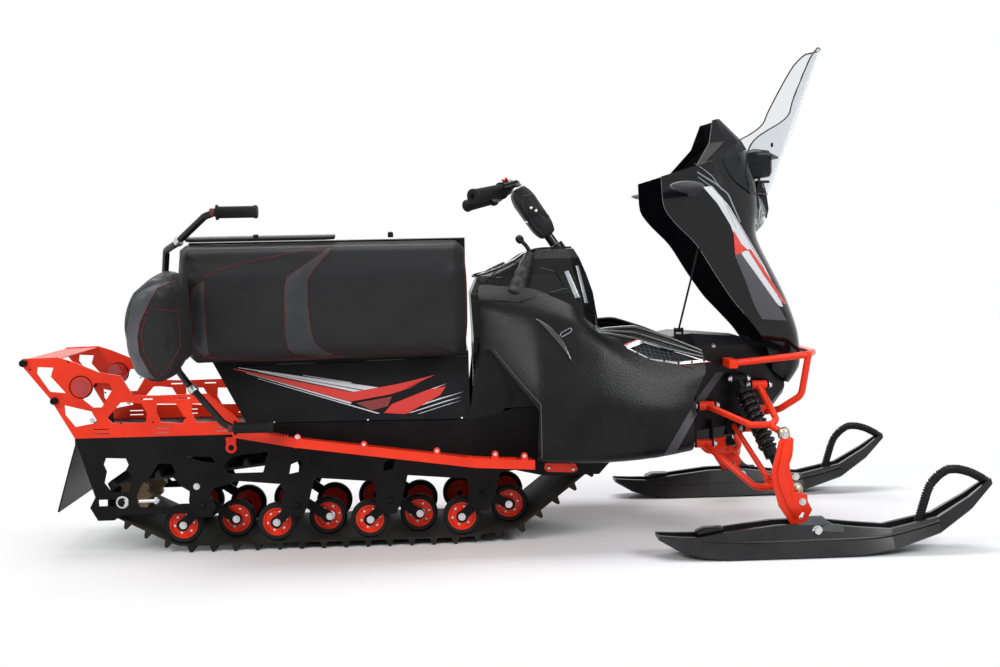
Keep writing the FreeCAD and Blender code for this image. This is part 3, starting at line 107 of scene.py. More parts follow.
def set_camera():
    """Camera almost square to the right side, a little above the seat."""
    ahead = Vector((
        math.cos(CAMERA_DIP) * math.sin(CAMERA_TURN), math.cos(CAMERA_DIP) * math.cos(CAMERA_TURN),
        -math.sin(CAMERA_DIP),
    ))
    level = Vector((math.cos(CAMERA_TURN), -math.sin(CAMERA_TURN), 0))
    plumb = ahead.cross(level)
    right = level * math.cos(CAMERA_ROLL) + plumb * math.sin(CAMERA_ROLL)
    down = plumb * math.cos(CAMERA_ROLL) - level * math.sin(CAMERA_ROLL)
    bpy.ops.object.camera_add()
    camera = bpy.context.object
    camera.name = "photo_camera"
    camera.data.sensor_width = SENSOR_WIDTH
    camera.data.lens = SENSOR_WIDTH * FOCAL_LENGTH / PICTURE_WIDTH
    camera.data.clip_start = 0.05
    camera.matrix_world = Matrix((
        (right.x, -down.x, -ahead.x, CAMERA_PLACE[0]),
        (right.y, -down.y, -ahead.y, CAMERA_PLACE[1]),
        (right.z, -down.z, -ahead.z, CAMERA_PLACE[2]),
        (0, 0, 0, 1),
    ))
    bpy.context.scene.camera = camera


def soft_box(name, place, aim, size, power):
    """Rectangular studio lamp aimed at a point."""
    bpy.ops.object.light_add(type="AREA", location=place)
    lamp = bpy.context.object
    lamp.name = name
    lamp.data.shape = "RECTANGLE"
    lamp.data.size, lamp.data.size_y = size
    lamp.data.energy = power
    lamp.rotation_euler = (Vector(aim) - Vector(place)).to_track_quat("-Z", "Y").to_euler()


def light_studio():
    """White backdrop where it is seen, a dim sky that lights the rest, and four soft lamps."""
    world = bpy.data.worlds.new("studio_world")
    bpy.context.scene.world = world
    world.use_nodes = True
    world.node_tree.nodes.clear()
    out = add(world, "OutputWorld")
    sky = add(world, "Background", Color=(0.9, 0.93, 1.0, 1), Strength=0.30)
    white = add(world, "Background", Color=(1, 1, 1, 1), Strength=1)
    mix = add(world, "MixShader")
    join_up(
        world,
        (plain_view(world), mix.inputs[0]),
        (sky.outputs[0], mix.inputs[1]),
        (white.outputs[0], mix.inputs[2]),
        (mix.outputs[0], out.inputs[0]),
    )
    soft_box("key_left", (-2.6, -3.4, 3.2), (0.2, 0, 0.5), (2.6, 1.2), 108)
    soft_box("key_right", (3.4, -2.8, 2.8), (0.8, 0, 0.6), (2.0, 1.2), 84)
    soft_box("top_light", (0.5, 0.4, 4.2), (0.5, 0, 0), (4.0, 1.6), 104)
    soft_box("back_light", (0.2, 3.4, 2.2), (0.4, 0, 0.6), (3.6, 1.4), 54)


def lay_floor():
    """White paper that takes the shadow and fades into the backdrop round the machine."""
    bpy.ops.mesh.primitive_plane_add(size=40, location=(0, 0, -0.0005))
    floor = bpy.context.object
    floor.name = "studio_floor"
    paint = bpy.data.materials.new("floor_paper")
    paint.use_nodes = True
    paint.node_tree.nodes.clear()
    out = add(paint, "OutputMaterial")
    paper = add(paint, "BsdfDiffuse", Color=(0.92, 0.92, 0.92, 1))
    glow = add(paint, "Emission", Strength=1)
    near = add(paint, "TexCoord")
    stretch = add(paint, "Mapping", Location=(-0.45, 0, 0), Scale=(0.42, 0.95, 1))
    reach = add(paint, "VectorMath", operation="LENGTH")
    fade = add(paint, "MapRange", interpolation_type="SMOOTHERSTEP", **{"From Min": 0.45, "From Max": 1.15})
    shown = add(paint, "Math", operation="MULTIPLY")
    mix = add(paint, "MixShader")
    join_up(
        paint,
        (near.outputs["Object"], stretch.inputs[0]),
        (stretch.outputs[0], reach.inputs[0]),
        (reach.outputs["Value"], fade.inputs["Value"]),
        (fade.outputs[0], shown.inputs[0]),
        (plain_view(paint), shown.inputs[1]),
        (shown.outputs[0], mix.inputs[0]),
        (paper.outputs[0], mix.inputs[1]),
        (glow.outputs[0], mix.inputs[2]),
        (mix.outputs[0], out.inputs[0]),
    )
    floor.data.materials.append(paint)


def set_studio():
    """Backdrop, lamps and floor, shown with plain colours."""
    light_studio()
    lay_floor()
    bpy.context.scene.view_settings.view_transform = "Standard"


# Materials


FINISH = {}


def shader(name, color, rough, metal=0.0, coat=0.0, specular=0.5):
    """A material with a plain principled shader."""
    paint = bpy.data.materials.new(name)
    paint.use_nodes = True
    body = body_of(paint)
    body.inputs["Base Color"].default_value = (*color, 1)
    body.inputs["Roughness"].default_value = rough
    body.inputs["Metallic"].default_value = metal
    body.inputs["Coat Weight"].default_value = coat
    body.inputs["Specular IOR Level"].default_value = specular
    return paint


def tint(paint, low, high, scale):
    """Base colour that wanders between two tones over the surface."""
    place = add(paint, "TexCoord")
    noise = add(paint, "TexNoise", Scale=scale, Detail=3.0)
    ramp = add(paint, "ValToRGB")
    first, last = ramp.color_ramp.elements
    first.position, last.position = 0.35, 0.65
    first.color, last.color = (*low, 1), (*high, 1)
    join_up(
        paint,
        (place.outputs["Object"], noise.inputs["Vector"]),
        (noise.outputs["Fac"], ramp.inputs["Fac"]),
        (ramp.outputs["Color"], body_of(paint).inputs["Base Color"]),
    )


def roughen(paint, low, high, scale):
    """Roughness that varies with soft smears."""
    place = add(paint, "TexCoord")
    noise = add(paint, "TexNoise", Scale=scale, Detail=4.0)
    span = add(paint, "MapRange", **{"To Min": low, "To Max": high})
    join_up(
        paint,
        (place.outputs["Object"], noise.inputs["Vector"]),
        (noise.outputs["Fac"], span.inputs["Value"]),
        (span.outputs["Result"], body_of(paint).inputs["Roughness"]),
    )


def grain(paint, scale, strength, depth, cells=True):
    """Fine relief: moulded or leather cells, or plain noise."""
    place = add(paint, "TexCoord")
    if cells:
        relief = add(paint, "TexVoronoi", Scale=scale, feature="SMOOTH_F1")
        level = relief.outputs["Distance"]
    else:
        relief = add(paint, "TexNoise", Scale=scale, Detail=2.0)
        level = relief.outputs["Fac"]
    bump = add(paint, "Bump", Strength=strength, Distance=depth)
    join_up(
        paint,
        (place.outputs["Object"], relief.inputs["Vector"]),
        (level, bump.inputs["Height"]),
        (bump.outputs["Normal"], body_of(paint).inputs["Normal"]),
    )


def powder_coat(name, low, high, rough):
    """Baked paint with a faint orange peel under a thin clear coat."""
    paint = shader(name, high, rough, coat=0.12, specular=0.2)
    body_of(paint).inputs["Coat Roughness"].default_value = 0.12
    tint(paint, low, high, 6.0)
    grain(paint, 900.0, 0.12, 0.0004, cells=False)
    return paint


def moulded(name, low, high, rough, cell, strength, specular=0.25):
    """Plastic, rubber or leather with its moulded grain."""
    paint = shader(name, high, rough, specular=specular)
    tint(paint, low, high, 9.0)
    grain(paint, cell, strength, 0.0006)
    return paint


def smeared(name, color, rough, shine, scale, metal=0.0, coat=0.0, specular=0.5):
    """Smooth finish whose shine wanders between two values of roughness."""
    paint = shader(name, color, rough, metal, coat, specular)
    roughen(paint, *shine, scale)
    return paint


def clear(name, color, rough, passing):
    """See-through plastic; passing is the share of the light that goes through."""
    paint = shader(name, color, rough)
    body_of(paint).inputs["Transmission Weight"].default_value = passing
    return paint


def mix_paints_and_plastics():
    """Hard finishes, from dull to polished."""
    return {
        "red_paint": powder_coat("red_powder_coat", (0.76, 0.028, 0.006), (0.90, 0.040, 0.009), 0.32),
        "black_paint": moulded(
            "black_powder_coat", (0.004, 0.004, 0.0045), (0.008, 0.008, 0.0085), 0.46, 900.0, 0.12, 0.10),
        "grained_plastic": moulded(
            "grained_black_plastic", (0.004, 0.004, 0.0045), (0.008, 0.008, 0.0085), 0.27, 340.0, 0.9, 0.17),
        "black_plastic": moulded(
            "satin_black_plastic", (0.005, 0.005, 0.006), (0.010, 0.010, 0.011), 0.42, 900.0, 0.2, 0.12),
        "gloss_black_plastic": smeared(
            "gloss_black_plastic", (0.004, 0.004, 0.005), 0.12, (0.07, 0.16), 14.0, coat=0.1, specular=0.25),
        "polished_ridge": smeared(
            "polished_ridge", (0.006, 0.006, 0.007), 0.24, (0.20, 0.28), 20.0, coat=0.7, specular=0.6),
        "satin_grey": moulded(
            "satin_grey_plastic", (0.05, 0.05, 0.055), (0.085, 0.086, 0.092), 0.34, 500.0, 0.3),
        "ski": moulded("ski_plastic", (0.008, 0.008, 0.009), (0.016, 0.016, 0.017), 0.30, 140.0, 0.25, 0.26),
        "tan_plastic": moulded("tan_nylon", (0.42, 0.27, 0.13), (0.60, 0.42, 0.24), 0.55, 240.0, 0.2),
    }


def mix_rubbers_and_leathers():
    """Soft finishes of seat, grips, tyres and track."""
    return {
        "cushion_vinyl": moulded(
            "grained_vinyl", (0.021, 0.021, 0.022), (0.024, 0.024, 0.025), 0.48, 700.0, 0.35, 0.12),
        "grey_vinyl": moulded("grey_vinyl", (0.030, 0.031, 0.033), (0.046, 0.048, 0.051), 0.46, 560.0, 0.6),
        "grey_leather": moulded(
            "creased_grey_leather", (0.050, 0.052, 0.056), (0.10, 0.104, 0.11), 0.42, 420.0, 0.5),
        "leather_black": moulded(
            "black_leather", (0.008, 0.008, 0.008), (0.020, 0.020, 0.020), 0.40, 260.0, 0.7, 0.2),
        "red_thread": moulded("red_thread", (0.22, 0.012, 0.014), (0.32, 0.02, 0.022), 0.6, 900.0, 0.3),
        "black_rubber": moulded(
            "black_rubber", (0.007, 0.007, 0.007), (0.016, 0.016, 0.016), 0.62, 300.0, 0.3, 0.12),
        "track_rubber": moulded(
            "track_rubber", (0.010, 0.010, 0.0095), (0.026, 0.025, 0.023), 0.72, 180.0, 0.35, 0.12),
        "tyre_rubber": moulded(
            "tyre_rubber", (0.008, 0.008, 0.008), (0.017, 0.017, 0.017), 0.62, 260.0, 0.25, 0.12),
    }


def mix_metals_and_lenses():
    """Plated and cast metal, and the lamps' and windshield's plastics."""
    screen = clear("clear_screen", (0.82, 0.84, 0.86), 0.0, 1.0)
    body_of(screen).inputs["IOR"].default_value = 1.03
    return {
        "bare_steel": smeared("zinc_steel", (0.62, 0.62, 0.63), 0.28, (0.20, 0.42), 60.0, metal=1.0),
        "brass": smeared("yellow_zinc", (0.46, 0.40, 0.30), 0.35, (0.25, 0.50), 80.0, metal=1.0),
        "satin_silver": smeared("satin_silver", (0.42, 0.43, 0.45), 0.34, (0.22, 0.4), 50.0, metal=0.5),
        "cast_block": moulded("cast_aluminium", (0.28, 0.28, 0.29), (0.42, 0.42, 0.43), 0.55, 200.0, 0.5),
        "red_lens": smeared("red_lens", (0.45, 0.008, 0.006), 0.12, (0.08, 0.2), 40.0, coat=0.6),
        "clear_lens": clear("clear_lens", (0.9, 0.92, 0.95), 0.04, 0.85),
        "windshield_clear": screen,
    }


def mix_films():
    """Printed films of the stripes."""
    return {
        "stripe_red": smeared("red_film", (0.66, 0.03, 0.018), 0.28, (0.27, 0.30), 12.0, coat=0.15),
        "stripe_white": smeared("white_film", (0.66, 0.67, 0.69), 0.3, (0.26, 0.30), 12.0, coat=0.2),
        "stripe_grey": smeared("grey_film", (0.045, 0.045, 0.055), 0.26, (0.26, 0.30), 12.0, coat=0.3),
        "stripe_deep": smeared("dark_red_film", (0.20, 0.012, 0.010), 0.3, (0.28, 0.32), 12.0, coat=0.3),
    }


def mix_finishes():
    """All finishes under the names that the pieces ask for."""
    for mix in (mix_paints_and_plastics, mix_rubbers_and_leathers, mix_metals_and_lenses, mix_films):
        FINISH.update(mix())


def dress_nodes():
    """Every node of the part gets the material of its slot; a few get a closer one."""
    closer = {
        "side_cowl_right": "grained_plastic", "side_cowl_left": "grained_plastic",
        "dash_console": "grained_plastic", "belly_pan": "grained_plastic",
        "ski_right": "ski", "ski_left": "ski", "prop_rod": "black_paint",
        "vent_grilles": "black_rubber", "passenger_handle": "gloss_black_plastic",
    }
    for entry in frame["record"]["subparts"]:
        name = entry["node"]
        node = NODES[name]
        node.data.materials.clear()
        node.data.materials.append(FINISH[closer.get(name, entry["material_slot"])])


# Modelling steps


def pick_only(piece):
    """Select one piece and make it active."""
    bpy.ops.object.select_all(action="DESELECT")
    piece.select_set(True)
    bpy.context.view_layer.objects.active = piece


def edit(piece, *steps):
    """Run edit-mode steps on all of a piece, each an operator with its settings."""
    pick_only(piece)
    bpy.ops.object.mode_set(mode="EDIT")
    bpy.ops.mesh.select_all(action="SELECT")
    for operator, settings in steps:
        operator(**settings)
    bpy.ops.object.mode_set(mode="OBJECT")


MERGE = (bpy.ops.mesh.remove_doubles, {"threshold": 1e-6})
FACE_OUT = (bpy.ops.mesh.normals_make_consistent, {"inside": False})
TURN_OVER = (bpy.ops.mesh.flip_normals, {})
CLOSE_ENDS = (bpy.ops.mesh.fill_holes, {"sides": 0})


def work(piece, kind, **settings):
    """Add a modifier, set it and apply it."""
    pick_only(piece)
    bpy.ops.object.modifier_add(type=kind)
    tool = piece.modifiers[-1]
    for key, value in settings.items():
        setattr(tool, key, value)
    bpy.ops.object.modifier_apply(modifier=tool.name)


def hang(piece, name, finish, body, angle=32):
    """Name a ready piece, give it its finish and hang it on its body."""
    pick_only(piece)
    piece.name = name
    piece.data.materials.clear()
    piece.data.materials.append(FINISH[finish])
    bpy.ops.object.shade_smooth_by_angle(angle=math.radians(angle))
    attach(piece, body)
    return piece


def join(pieces):
    """One piece of several."""
    pick_only(pieces[0])
    for piece in pieces[1:]:
        piece.select_set(True)
    bpy.ops.object.join()
    return pieces[0]


def place_corners(piece, points):
    """Move the corners of a piece to points given in millimetres."""
    for corner, point in zip(piece.data.vertices, points):
        corner.co = Vector(point) * MM


def skin(rows):
    """A grid laid over rows of points."""
    bpy.ops.mesh.primitive_grid_add(x_subdivisions=len(rows[0]) - 1, y_subdivisions=len(rows) - 1, size=1)
    piece = bpy.context.object
    place_corners(piece, [point for row in rows for point in row])
    return piece


def loft(rings):
    """A closed body drawn through rings of points and capped at both ends."""
    piece = skin([list(ring) + [ring[0]] for ring in rings])
    edit(piece, MERGE, CLOSE_ENDS, FACE_OUT)
    return piece


def frame_of(way):
    """Two directions square to a way."""
    way = Vector(way).normalized()
    side = way.orthogonal().normalized()
    return side, way.cross(side)


def circle(middle, way, radius, sides):
    """Points of a circle square to a way."""
    side, up = frame_of(way)
    ring = []
    for index in range(sides):
        turn = 2 * math.pi * index / sides
        ring.append(middle + (side * math.cos(turn) + up * math.sin(turn)) * radius)
    return ring


def turned(profile, start, way, sides=20):
    """A body of revolution: the profile lists (distance along the way, radius)."""
    start, way = Vector(start), Vector(way).normalized()
    return loft([circle(start + way * distance, way, radius, sides) for distance, radius in profile])


def hoop(profile, start, way, sides=32):
    """A ring of revolution: the (distance, radius) profile runs round its section."""
    start, way = Vector(start), Vector(way).normalized()
    rows = []
    for distance, radius in list(profile) + [profile[0]]:
        row = circle(start + way * distance, way, radius, sides)
        rows.append(row + row[:1])
    piece = skin(rows)
    edit(piece, MERGE, FACE_OUT)
    return piece


def plate(outline, lay, depth, bevel=0.0):
    """A flat outline drawn out: lay turns (a, b, c) into a place on the machine."""
    bpy.ops.mesh.primitive_circle_add(vertices=len(outline), fill_type="NGON")
    piece = bpy.context.object
    place_corners(piece, [lay(a, b, 0) for a, b in outline])
    way = (Vector(lay(0, 0, depth)) - Vector(lay(0, 0, 0))) * MM
    edit(piece, (bpy.ops.mesh.extrude_region_move, {"TRANSFORM_OT_translate": {"value": way}}))
    edit(piece, FACE_OUT)
    if bevel:
        work(piece, "BEVEL", width=bevel * MM, segments=2, limit_method="ANGLE")
    return piece


def wire(points, radius, sides=8):
    """A round wire that runs smoothly along the points."""
    bpy.ops.curve.primitive_nurbs_path_add()
    curve = bpy.context.object
    curve.data.splines.clear()
    run = curve.data.splines.new("NURBS")
    run.points.add(len(points) - 1)
    for knot, point in zip(run.points, points):
        knot.co = (*(Vector(point) * MM), 1)
    run.order_u = 3
    run.use_endpoint_u = True
    run.resolution_u = 6
    curve.data.bevel_depth = radius * MM
    curve.data.bevel_resolution = max(sides // 4 - 1, 0)
    curve.data.use_fill_caps = True
    pick_only(curve)
    bpy.ops.object.convert(target="MESH")
    piece = bpy.context.object
    edit(piece, MERGE, FACE_OUT)
    return piece


def model_bolt(radius, height):
    """Hexagon head on its washer, seated on the origin and facing +Z."""
    bpy.ops.mesh.primitive_cylinder_add(
        vertices=16, radius=1.45 * radius * MM, depth=0.25 * height * MM,
        location=(0, 0, 0.125 * height * MM))
    washer = bpy.context.object
    bpy.ops.mesh.primitive_cylinder_add(
        vertices=6, radius=radius * MM, depth=0.8 * height * MM, location=(0, 0, 0.6 * height * MM))
    head = bpy.context.object
    crown = next(face for face in head.data.polygons if face.normal.z > 0.9)
    for face in head.data.polygons:
        face.select = face is crown
    pick_only(head)
    bpy.ops.object.mode_set(mode="EDIT")
    bpy.ops.mesh.inset(thickness=0.2 * radius * MM)
    bpy.ops.transform.translate(value=(0, 0, 0.12 * height * MM))
    bpy.ops.object.mode_set(mode="OBJECT")
    bolt = join([washer, head])
    bpy.ops.object.transform_apply(location=True, rotation=True, scale=True)
    return bolt


def model_cap(radius, height):
    """Domed button head, seated on the origin and facing +Z."""
    profile = [(0, radius), (0.45 * height, radius), (0.8 * height, 0.8 * radius), (height, 0.45 * radius)]
    return turned(profile, (0, 0, 0), (0, 0, 1), 12)


def scatter(master, places):
    """Copies of a piece, each with its own mesh, at (point, facing) places."""
    copies = []
    for point, facing in places:
        piece = master.copy()
        piece.data = master.data.copy()
        bpy.context.collection.objects.link(piece)
        turn = Vector(facing).to_track_quat("Z", "Y").to_matrix().to_4x4()
        piece.data.transform(Matrix.Translation(Vector(point) * MM) @ turn)
        copies.append(piece)
    bpy.data.objects.remove(master)
    return join(copies)


def mirrored(piece):
    """The mirror image of a piece, on the machine's other side."""
    other = piece.copy()
    other.data = piece.data.copy()
    bpy.context.collection.objects.link(other)
    other.parent = None
    other.data.transform(Matrix.Diagonal((1, -1, 1, 1)))
    edit(other, TURN_OVER)
    return other


def mirror_places(points):
    """Places for screws that face outwards on both sides of the machine: each y is a reach."""
    return [((x, side * y, z), (0, side, 0)) for x, y, z in points for side in (-1, 1)]


def both_sides(piece):
    """The piece and its mirror image as one."""
    return join([piece, mirrored(piece)])


def left_copy(piece, name, finish, body, angle=32):
    """The mirror image of a piece as a piece of its own."""
    return hang(mirrored(piece), name, finish, body, angle)


def hang_pair(piece, name, finish, body, angle=32):
    """Hang a piece of the right side, and its mirror image on the left."""
    hang(piece, name, finish, body, angle)
    left_name, left_body = name.removesuffix("_right") + "_left", body.replace("right", "left")
    left_copy(piece, left_name, finish, left_body, angle)


def face_toward(piece, way):
    """Turn an open skin over where most of it faces away from a direction."""
    way = Vector(way)
    if sum(face.normal.dot(way) * face.area for face in piece.data.polygons) < 0:
        edit(piece, TURN_OVER)


# What carries a piece


def surface(*pieces):
    """Search tree over the faces of pieces, for laying things on them."""
    corners, faces = [], []
    for piece in pieces:
        start = len(corners)
        corners += [corner.co.copy() for corner in piece.data.vertices]
        faces += [[start + index for index in face.vertices] for face in piece.data.polygons]
    return BVHTree.FromPolygons(corners, faces)


# How far out the nearest surface is looked for where a sight line misses it, in metres.
OUT_OF_SIGHT = 3.5


def sight(across, down):
    """Direction from the camera through a place in the picture."""
    camera = bpy.context.scene.camera.matrix_world.to_3x3()
    middle_across, middle_down = PICTURE_MIDDLE
    place = Vector(((across - middle_across) / FOCAL_LENGTH, (middle_down - down) / FOCAL_LENGTH, -1))
    return (camera @ place).normalized()


def seen(tree, across, down, lift=0.0):
    """Point of a surface behind a place in the picture, or the nearest one past its outline, lifted off."""
    eye = bpy.context.scene.camera.location
    way = sight(across, down)
    point, normal, _, _ = tree.ray_cast(eye, way)
    if point is None:
        point, normal, _, _ = tree.find_nearest(eye + way * OUT_OF_SIGHT)
    if normal.dot(way) > 0:
        normal = -normal
    return point / MM + normal * lift


def along(line, share):
    """Point at a share of the way along a line of points."""
    spans = [(Vector(b) - Vector(a)).length for a, b in zip(line, line[1:])]
    left = share * sum(spans)
    for (a, b), span in zip(zip(line, line[1:]), spans):
        if left <= span:
            break
        left -= span
    return Vector(a).lerp(Vector(b), min(left / span, 1.0))


def even_out(tree, rows, lifts, rounds):
    """Even out a panel that wraps out of sight: its last edge and both ends stay."""
    for _ in range(rounds):
        eased = [rows[0]]
        for before, here, after in zip(rows, rows[1:], rows[2:]):
            row = []
            for at, lift in enumerate(lifts[:-1]):
                beside = here[at - 1] + here[at + 1] if at else here[at] * 2
                place, normal, _, _ = tree.find_nearest((before[at] + after[at] + beside) / 4 * MM)
                row.append(place / MM + normal * lift)
            eased.append(row + [here[-1]])
        rows = eased + [rows[-1]]
    return rows


def laid_panel(tree, edge_a, edge_b, lift, steps=14, across=5, crown=0.0, rounds=0):
    """A panel laid on a surface between two edges, which are lines in the picture."""
    shares = [index / across for index in range(across + 1)]
    lifts = [lift + crown * math.sin(math.pi * share) for share in shares]
    rows = []
    for step in range(steps + 1):
        a, b = along(edge_a, step / steps), along(edge_b, step / steps)
        places = [a.lerp(b, share) for share in shares]
        rows.append([seen(tree, place.x, place.y, lift) for place, lift in zip(places, lifts)])
    piece = skin(even_out(tree, rows, lifts, rounds))
    edit(piece, MERGE)
    return give_wall(piece, 0.4)


def give_wall(piece, thickness):
    """Close a thin panel: it faces the camera's side and gets its wall behind."""
    eye = bpy.context.scene.camera.location
    toward = sum((eye - face.center).dot(face.normal) * face.area for face in piece.data.polygons)
    if toward < 0:
        edit(piece, TURN_OVER)
    work(piece, "SOLIDIFY", thickness=thickness * MM, offset=-1)
    return piece


def ease_inside(piece, across, deep, iterations):
    """Smooth a grid and keep its edges where they are."""
    inner = []
    for corner in piece.data.vertices:
        row, column = divmod(corner.index, across)
        if 0 < row < deep - 1 and 0 < column < across - 1:
            inner.append(corner.index)
    piece.vertex_groups.new(name="inner").add(inner, 1.0, "REPLACE")
    work(piece, "SMOOTH", factor=0.5, iterations=iterations, vertex_group="inner")
    piece.vertex_groups.clear()


def laid_line(tree, line, radius, lift=0.0, steps=24):
    """A thin wire along a line in the picture, on the surface behind it."""
    points = [seen(tree, *along(line, step / steps), lift) for step in range(steps + 1)]
    return wire(points, radius, 6)


def stitches(tree, line, length=6.0, gap=3.0, thick=1.0, lift=1.0):
    """A row of stitches along a line in the picture."""
    run = [seen(tree, *along(line, step / 60), lift) for step in range(61)]
    total = sum((b - a).length for a, b in zip(run, run[1:]))
    count = max(int(total / (length + gap)), 2)
    bpy.ops.mesh.primitive_cylinder_add(vertices=5, radius=thick * MM, depth=length * MM)
    master = bpy.context.object
    work(master, "BEVEL", width=0.4 * thick * MM, segments=1, limit_method="ANGLE")
    places = []
    for index in range(count):
        share = (index + 0.5) / count
        here, ahead = along(run, share), along(run, min(share + 0.01, 1.0))
        if (ahead - here).length < 1e-6:
            continue
        places.append((here, ahead - here))
    return scatter(master, places)


# Seat


SEAT_HINGE = (-174, 562)
SEAT_SWING = math.radians(105)
SEAT_MIDDLE = 170
BACKREST_MIDDLE = -400
HANDLE_REACH = 301


def seat_point(x, across, height):
    """Place on the machine of a point of the raised seat, measured from its hinge."""
    y, z = SEAT_HINGE
    cosine, sine = math.cos(SEAT_SWING), math.sin(SEAT_SWING)
    return (x, y + across * cosine - height * sine, z + across * sine + height * cosine)


SWELL_PRESSURE = 4
SWELL_FRAMES = 20


def swell_pad(piece, voxel, cap, resting):
    """Let air pressure crown a pad by up to a cap; the corners that rest on something stay."""
    work(piece, "REMESH", mode="VOXEL", voxel_size=voxel * MM)
    before = [corner.co.copy() for corner in piece.data.vertices]
    held = [index for index, corner in enumerate(before) if resting(corner / MM)]
    piece.vertex_groups.new(name="resting").add(held, 1.0, "REPLACE")
    pick_only(piece)
    bpy.ops.object.modifier_add(type="CLOTH")
    cloth = piece.modifiers[-1]
    cloth.settings.use_pressure = True
    cloth.settings.uniform_pressure_force = SWELL_PRESSURE
    cloth.settings.vertex_group_mass = "resting"
    cloth.settings.effector_weights.gravity = 0
    cloth.point_cache.frame_start = 1
    cloth.point_cache.frame_end = SWELL_FRAMES
    for moment in range(1, SWELL_FRAMES + 1):
        bpy.context.scene.frame_set(moment)
    bpy.ops.object.modifier_apply(modifier=cloth.name)
    bpy.context.scene.frame_set(1)
    for corner, start in zip(piece.data.vertices, before):
        move = corner.co - start
        if move.length > cap * MM:
            corner.co = start + move.normalized() * cap * MM
    piece.vertex_groups.clear()
    work(piece, "SMOOTH", factor=0.5, iterations=8)
    work(piece, "SUBSURF", levels=1, render_levels=1)


def make_cushion():
    """Seat cushion: long chamfer on the far edge, short one on the near edge."""
    outline = [(0, 13.3), (340, 13.3), (342, 64), (334, 84), (272, 106), (60, 107), (20, 99), (-2, 66)]
    rings = []
    stations = ((424, 34, 22), (398, 2, 2), (60, 0, 0), (-20, -6, 0), (-338, -6, 0), (-364, 28, 18))
    for x, drop, inset in stations:
        ring = []
        for across, height in outline:
            pull = inset if across < SEAT_MIDDLE else -inset
            ring.append(seat_point(x, across + pull, height if height < 60 else height - drop))
        rings.append(ring)
    cushion = loft(rings)
    base = Vector(seat_point(0, 0, 15))
    up = Vector(seat_point(0, 0, 1)) - Vector(seat_point(0, 0, 0))
    swell_pad(cushion, 7, 8, lambda place: (place - base).dot(up) < 3)
    hang(cushion, "seat_pad", "cushion_vinyl", "seat")
    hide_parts("seat_cushion")
    lay_seat_bands(surface(cushion))


def lay_seat_bands(tree):
    """Two grey bands across the cushion, and its red stitching and piping."""
    front_left = [
        (328.5, 248.5), (307, 263), (286.5, 277.6), (284.2, 287), (284.8, 333), (288, 348.4), (295, 353.2),
        (325, 358),
    ]
    front_right = [
        (332, 249.5), (321, 261), (312, 271.9), (307.6, 280.5), (308.1, 306.3), (311, 329.3), (314.8, 342.7),
        (324.4, 350.8), (336, 355.6),
    ]
    rear_left = [
        (203, 281.5), (192.4, 289), (190.9, 296.4), (191.9, 324), (194.4, 345.4), (199, 352.6), (207, 356.5),
    ]
    rear_right = [(204.6, 281.5), (204.1, 296.4), (205.7, 317.8), (207.4, 340.8), (209, 356)]
    for name, left, right in (("front_band", front_left, front_right), ("rear_band", rear_left, rear_right)):
        band = laid_panel(tree, left, right, 0.9, 40, 6, 1.6)
        hang(band, "seat_" + name, "grey_vinyl", "seat")
    seams = (
        front_left, front_right, rear_left, rear_right,
        [
            (202.6, 278), (216.4, 270.4), (237.8, 264.2), (265.4, 258.1), (299, 252), (317.5, 249.4),
            (325, 249),
        ],
        [(198, 354.6), (207, 357.4), (231.7, 359.5), (268.5, 359.7), (314.4, 357.6), (345, 355.5)],
        [(463.2, 248), (464.1, 271.9), (465, 300), (465, 343)],
        [(184, 262), (181, 300), (182, 350)],
    )
    rows = [stitches(tree, line) for line in seams]
    hang(join(rows), "seat_stitching", "red_thread", "seat", 60)
    piping = [laid_line(tree, line, 1.5, 0.4, 60) for line in seams[:4]]
    hang(join(piping), "seat_piping", "cushion_vinyl", "seat", 60)


def make_backrest_pad():
    """Padded backrest with its grey leather band, red stitching and piping."""
    outline = [
        (-340, 52), (-340, 296), (-386, 312), (-440, 280), (-464, 200), (-460, 132), (-442, 60), (-394, 26),
    ]
    rings = []
    for height, shift, shrink in ((124, 24, 0.84), (161, 16, 0.96), (275, 0, 0.99), (324, -8, 0.86)):
        rings.append([
            seat_point(
                BACKREST_MIDDLE + (x - BACKREST_MIDDLE) * shrink + shift,
                SEAT_MIDDLE + (across - SEAT_MIDDLE) * shrink, height)
            for x, across in outline
        ])
    pad = loft(rings)
    low = Vector(seat_point(0, 0, 128))
    up = Vector(seat_point(0, 0, 1)) - Vector(seat_point(0, 0, 0))
    swell_pad(pad, 6, 8, lambda place: (place - low).dot(up) < 0)
    hang(pad, "backrest_pad", "cushion_vinyl", "seat")
    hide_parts("backrest")
    tree = surface(pad)
    outer = [
        (150, 287), (138, 293), (132, 303), (128.6, 316), (127.2, 328), (127.4, 343), (131, 360), (139, 374),
        (148, 384),
    ]
    inner = [
        (176, 281), (156.7, 288.7), (149, 302.5), (139.8, 322.4), (137.4, 337.7), (139, 353), (149, 372),
        (159.5, 384),
    ]
    panel = [
        (148.2, 308.6), (177.3, 310.9), (179.4, 333), (180, 347), (167.4, 368), (158.5, 376.5), (144, 352),
        (141.2, 333), (148.2, 308.6),
    ]
    band = laid_panel(tree, outer, inner, 1.4, 40, 10, 1.2, 24)
    hang(band, "backrest_band", "grey_leather", "seat")
    rows = [stitches(tree, line) for line in (inner, panel)]
    hang(join(rows), "backrest_stitching", "red_thread", "seat", 60)
    piping = [laid_line(tree, line, 1.4, 0.3, 50) for line in (inner, panel)]
    hang(join(piping), "backrest_piping", "cushion_vinyl", "seat", 60)


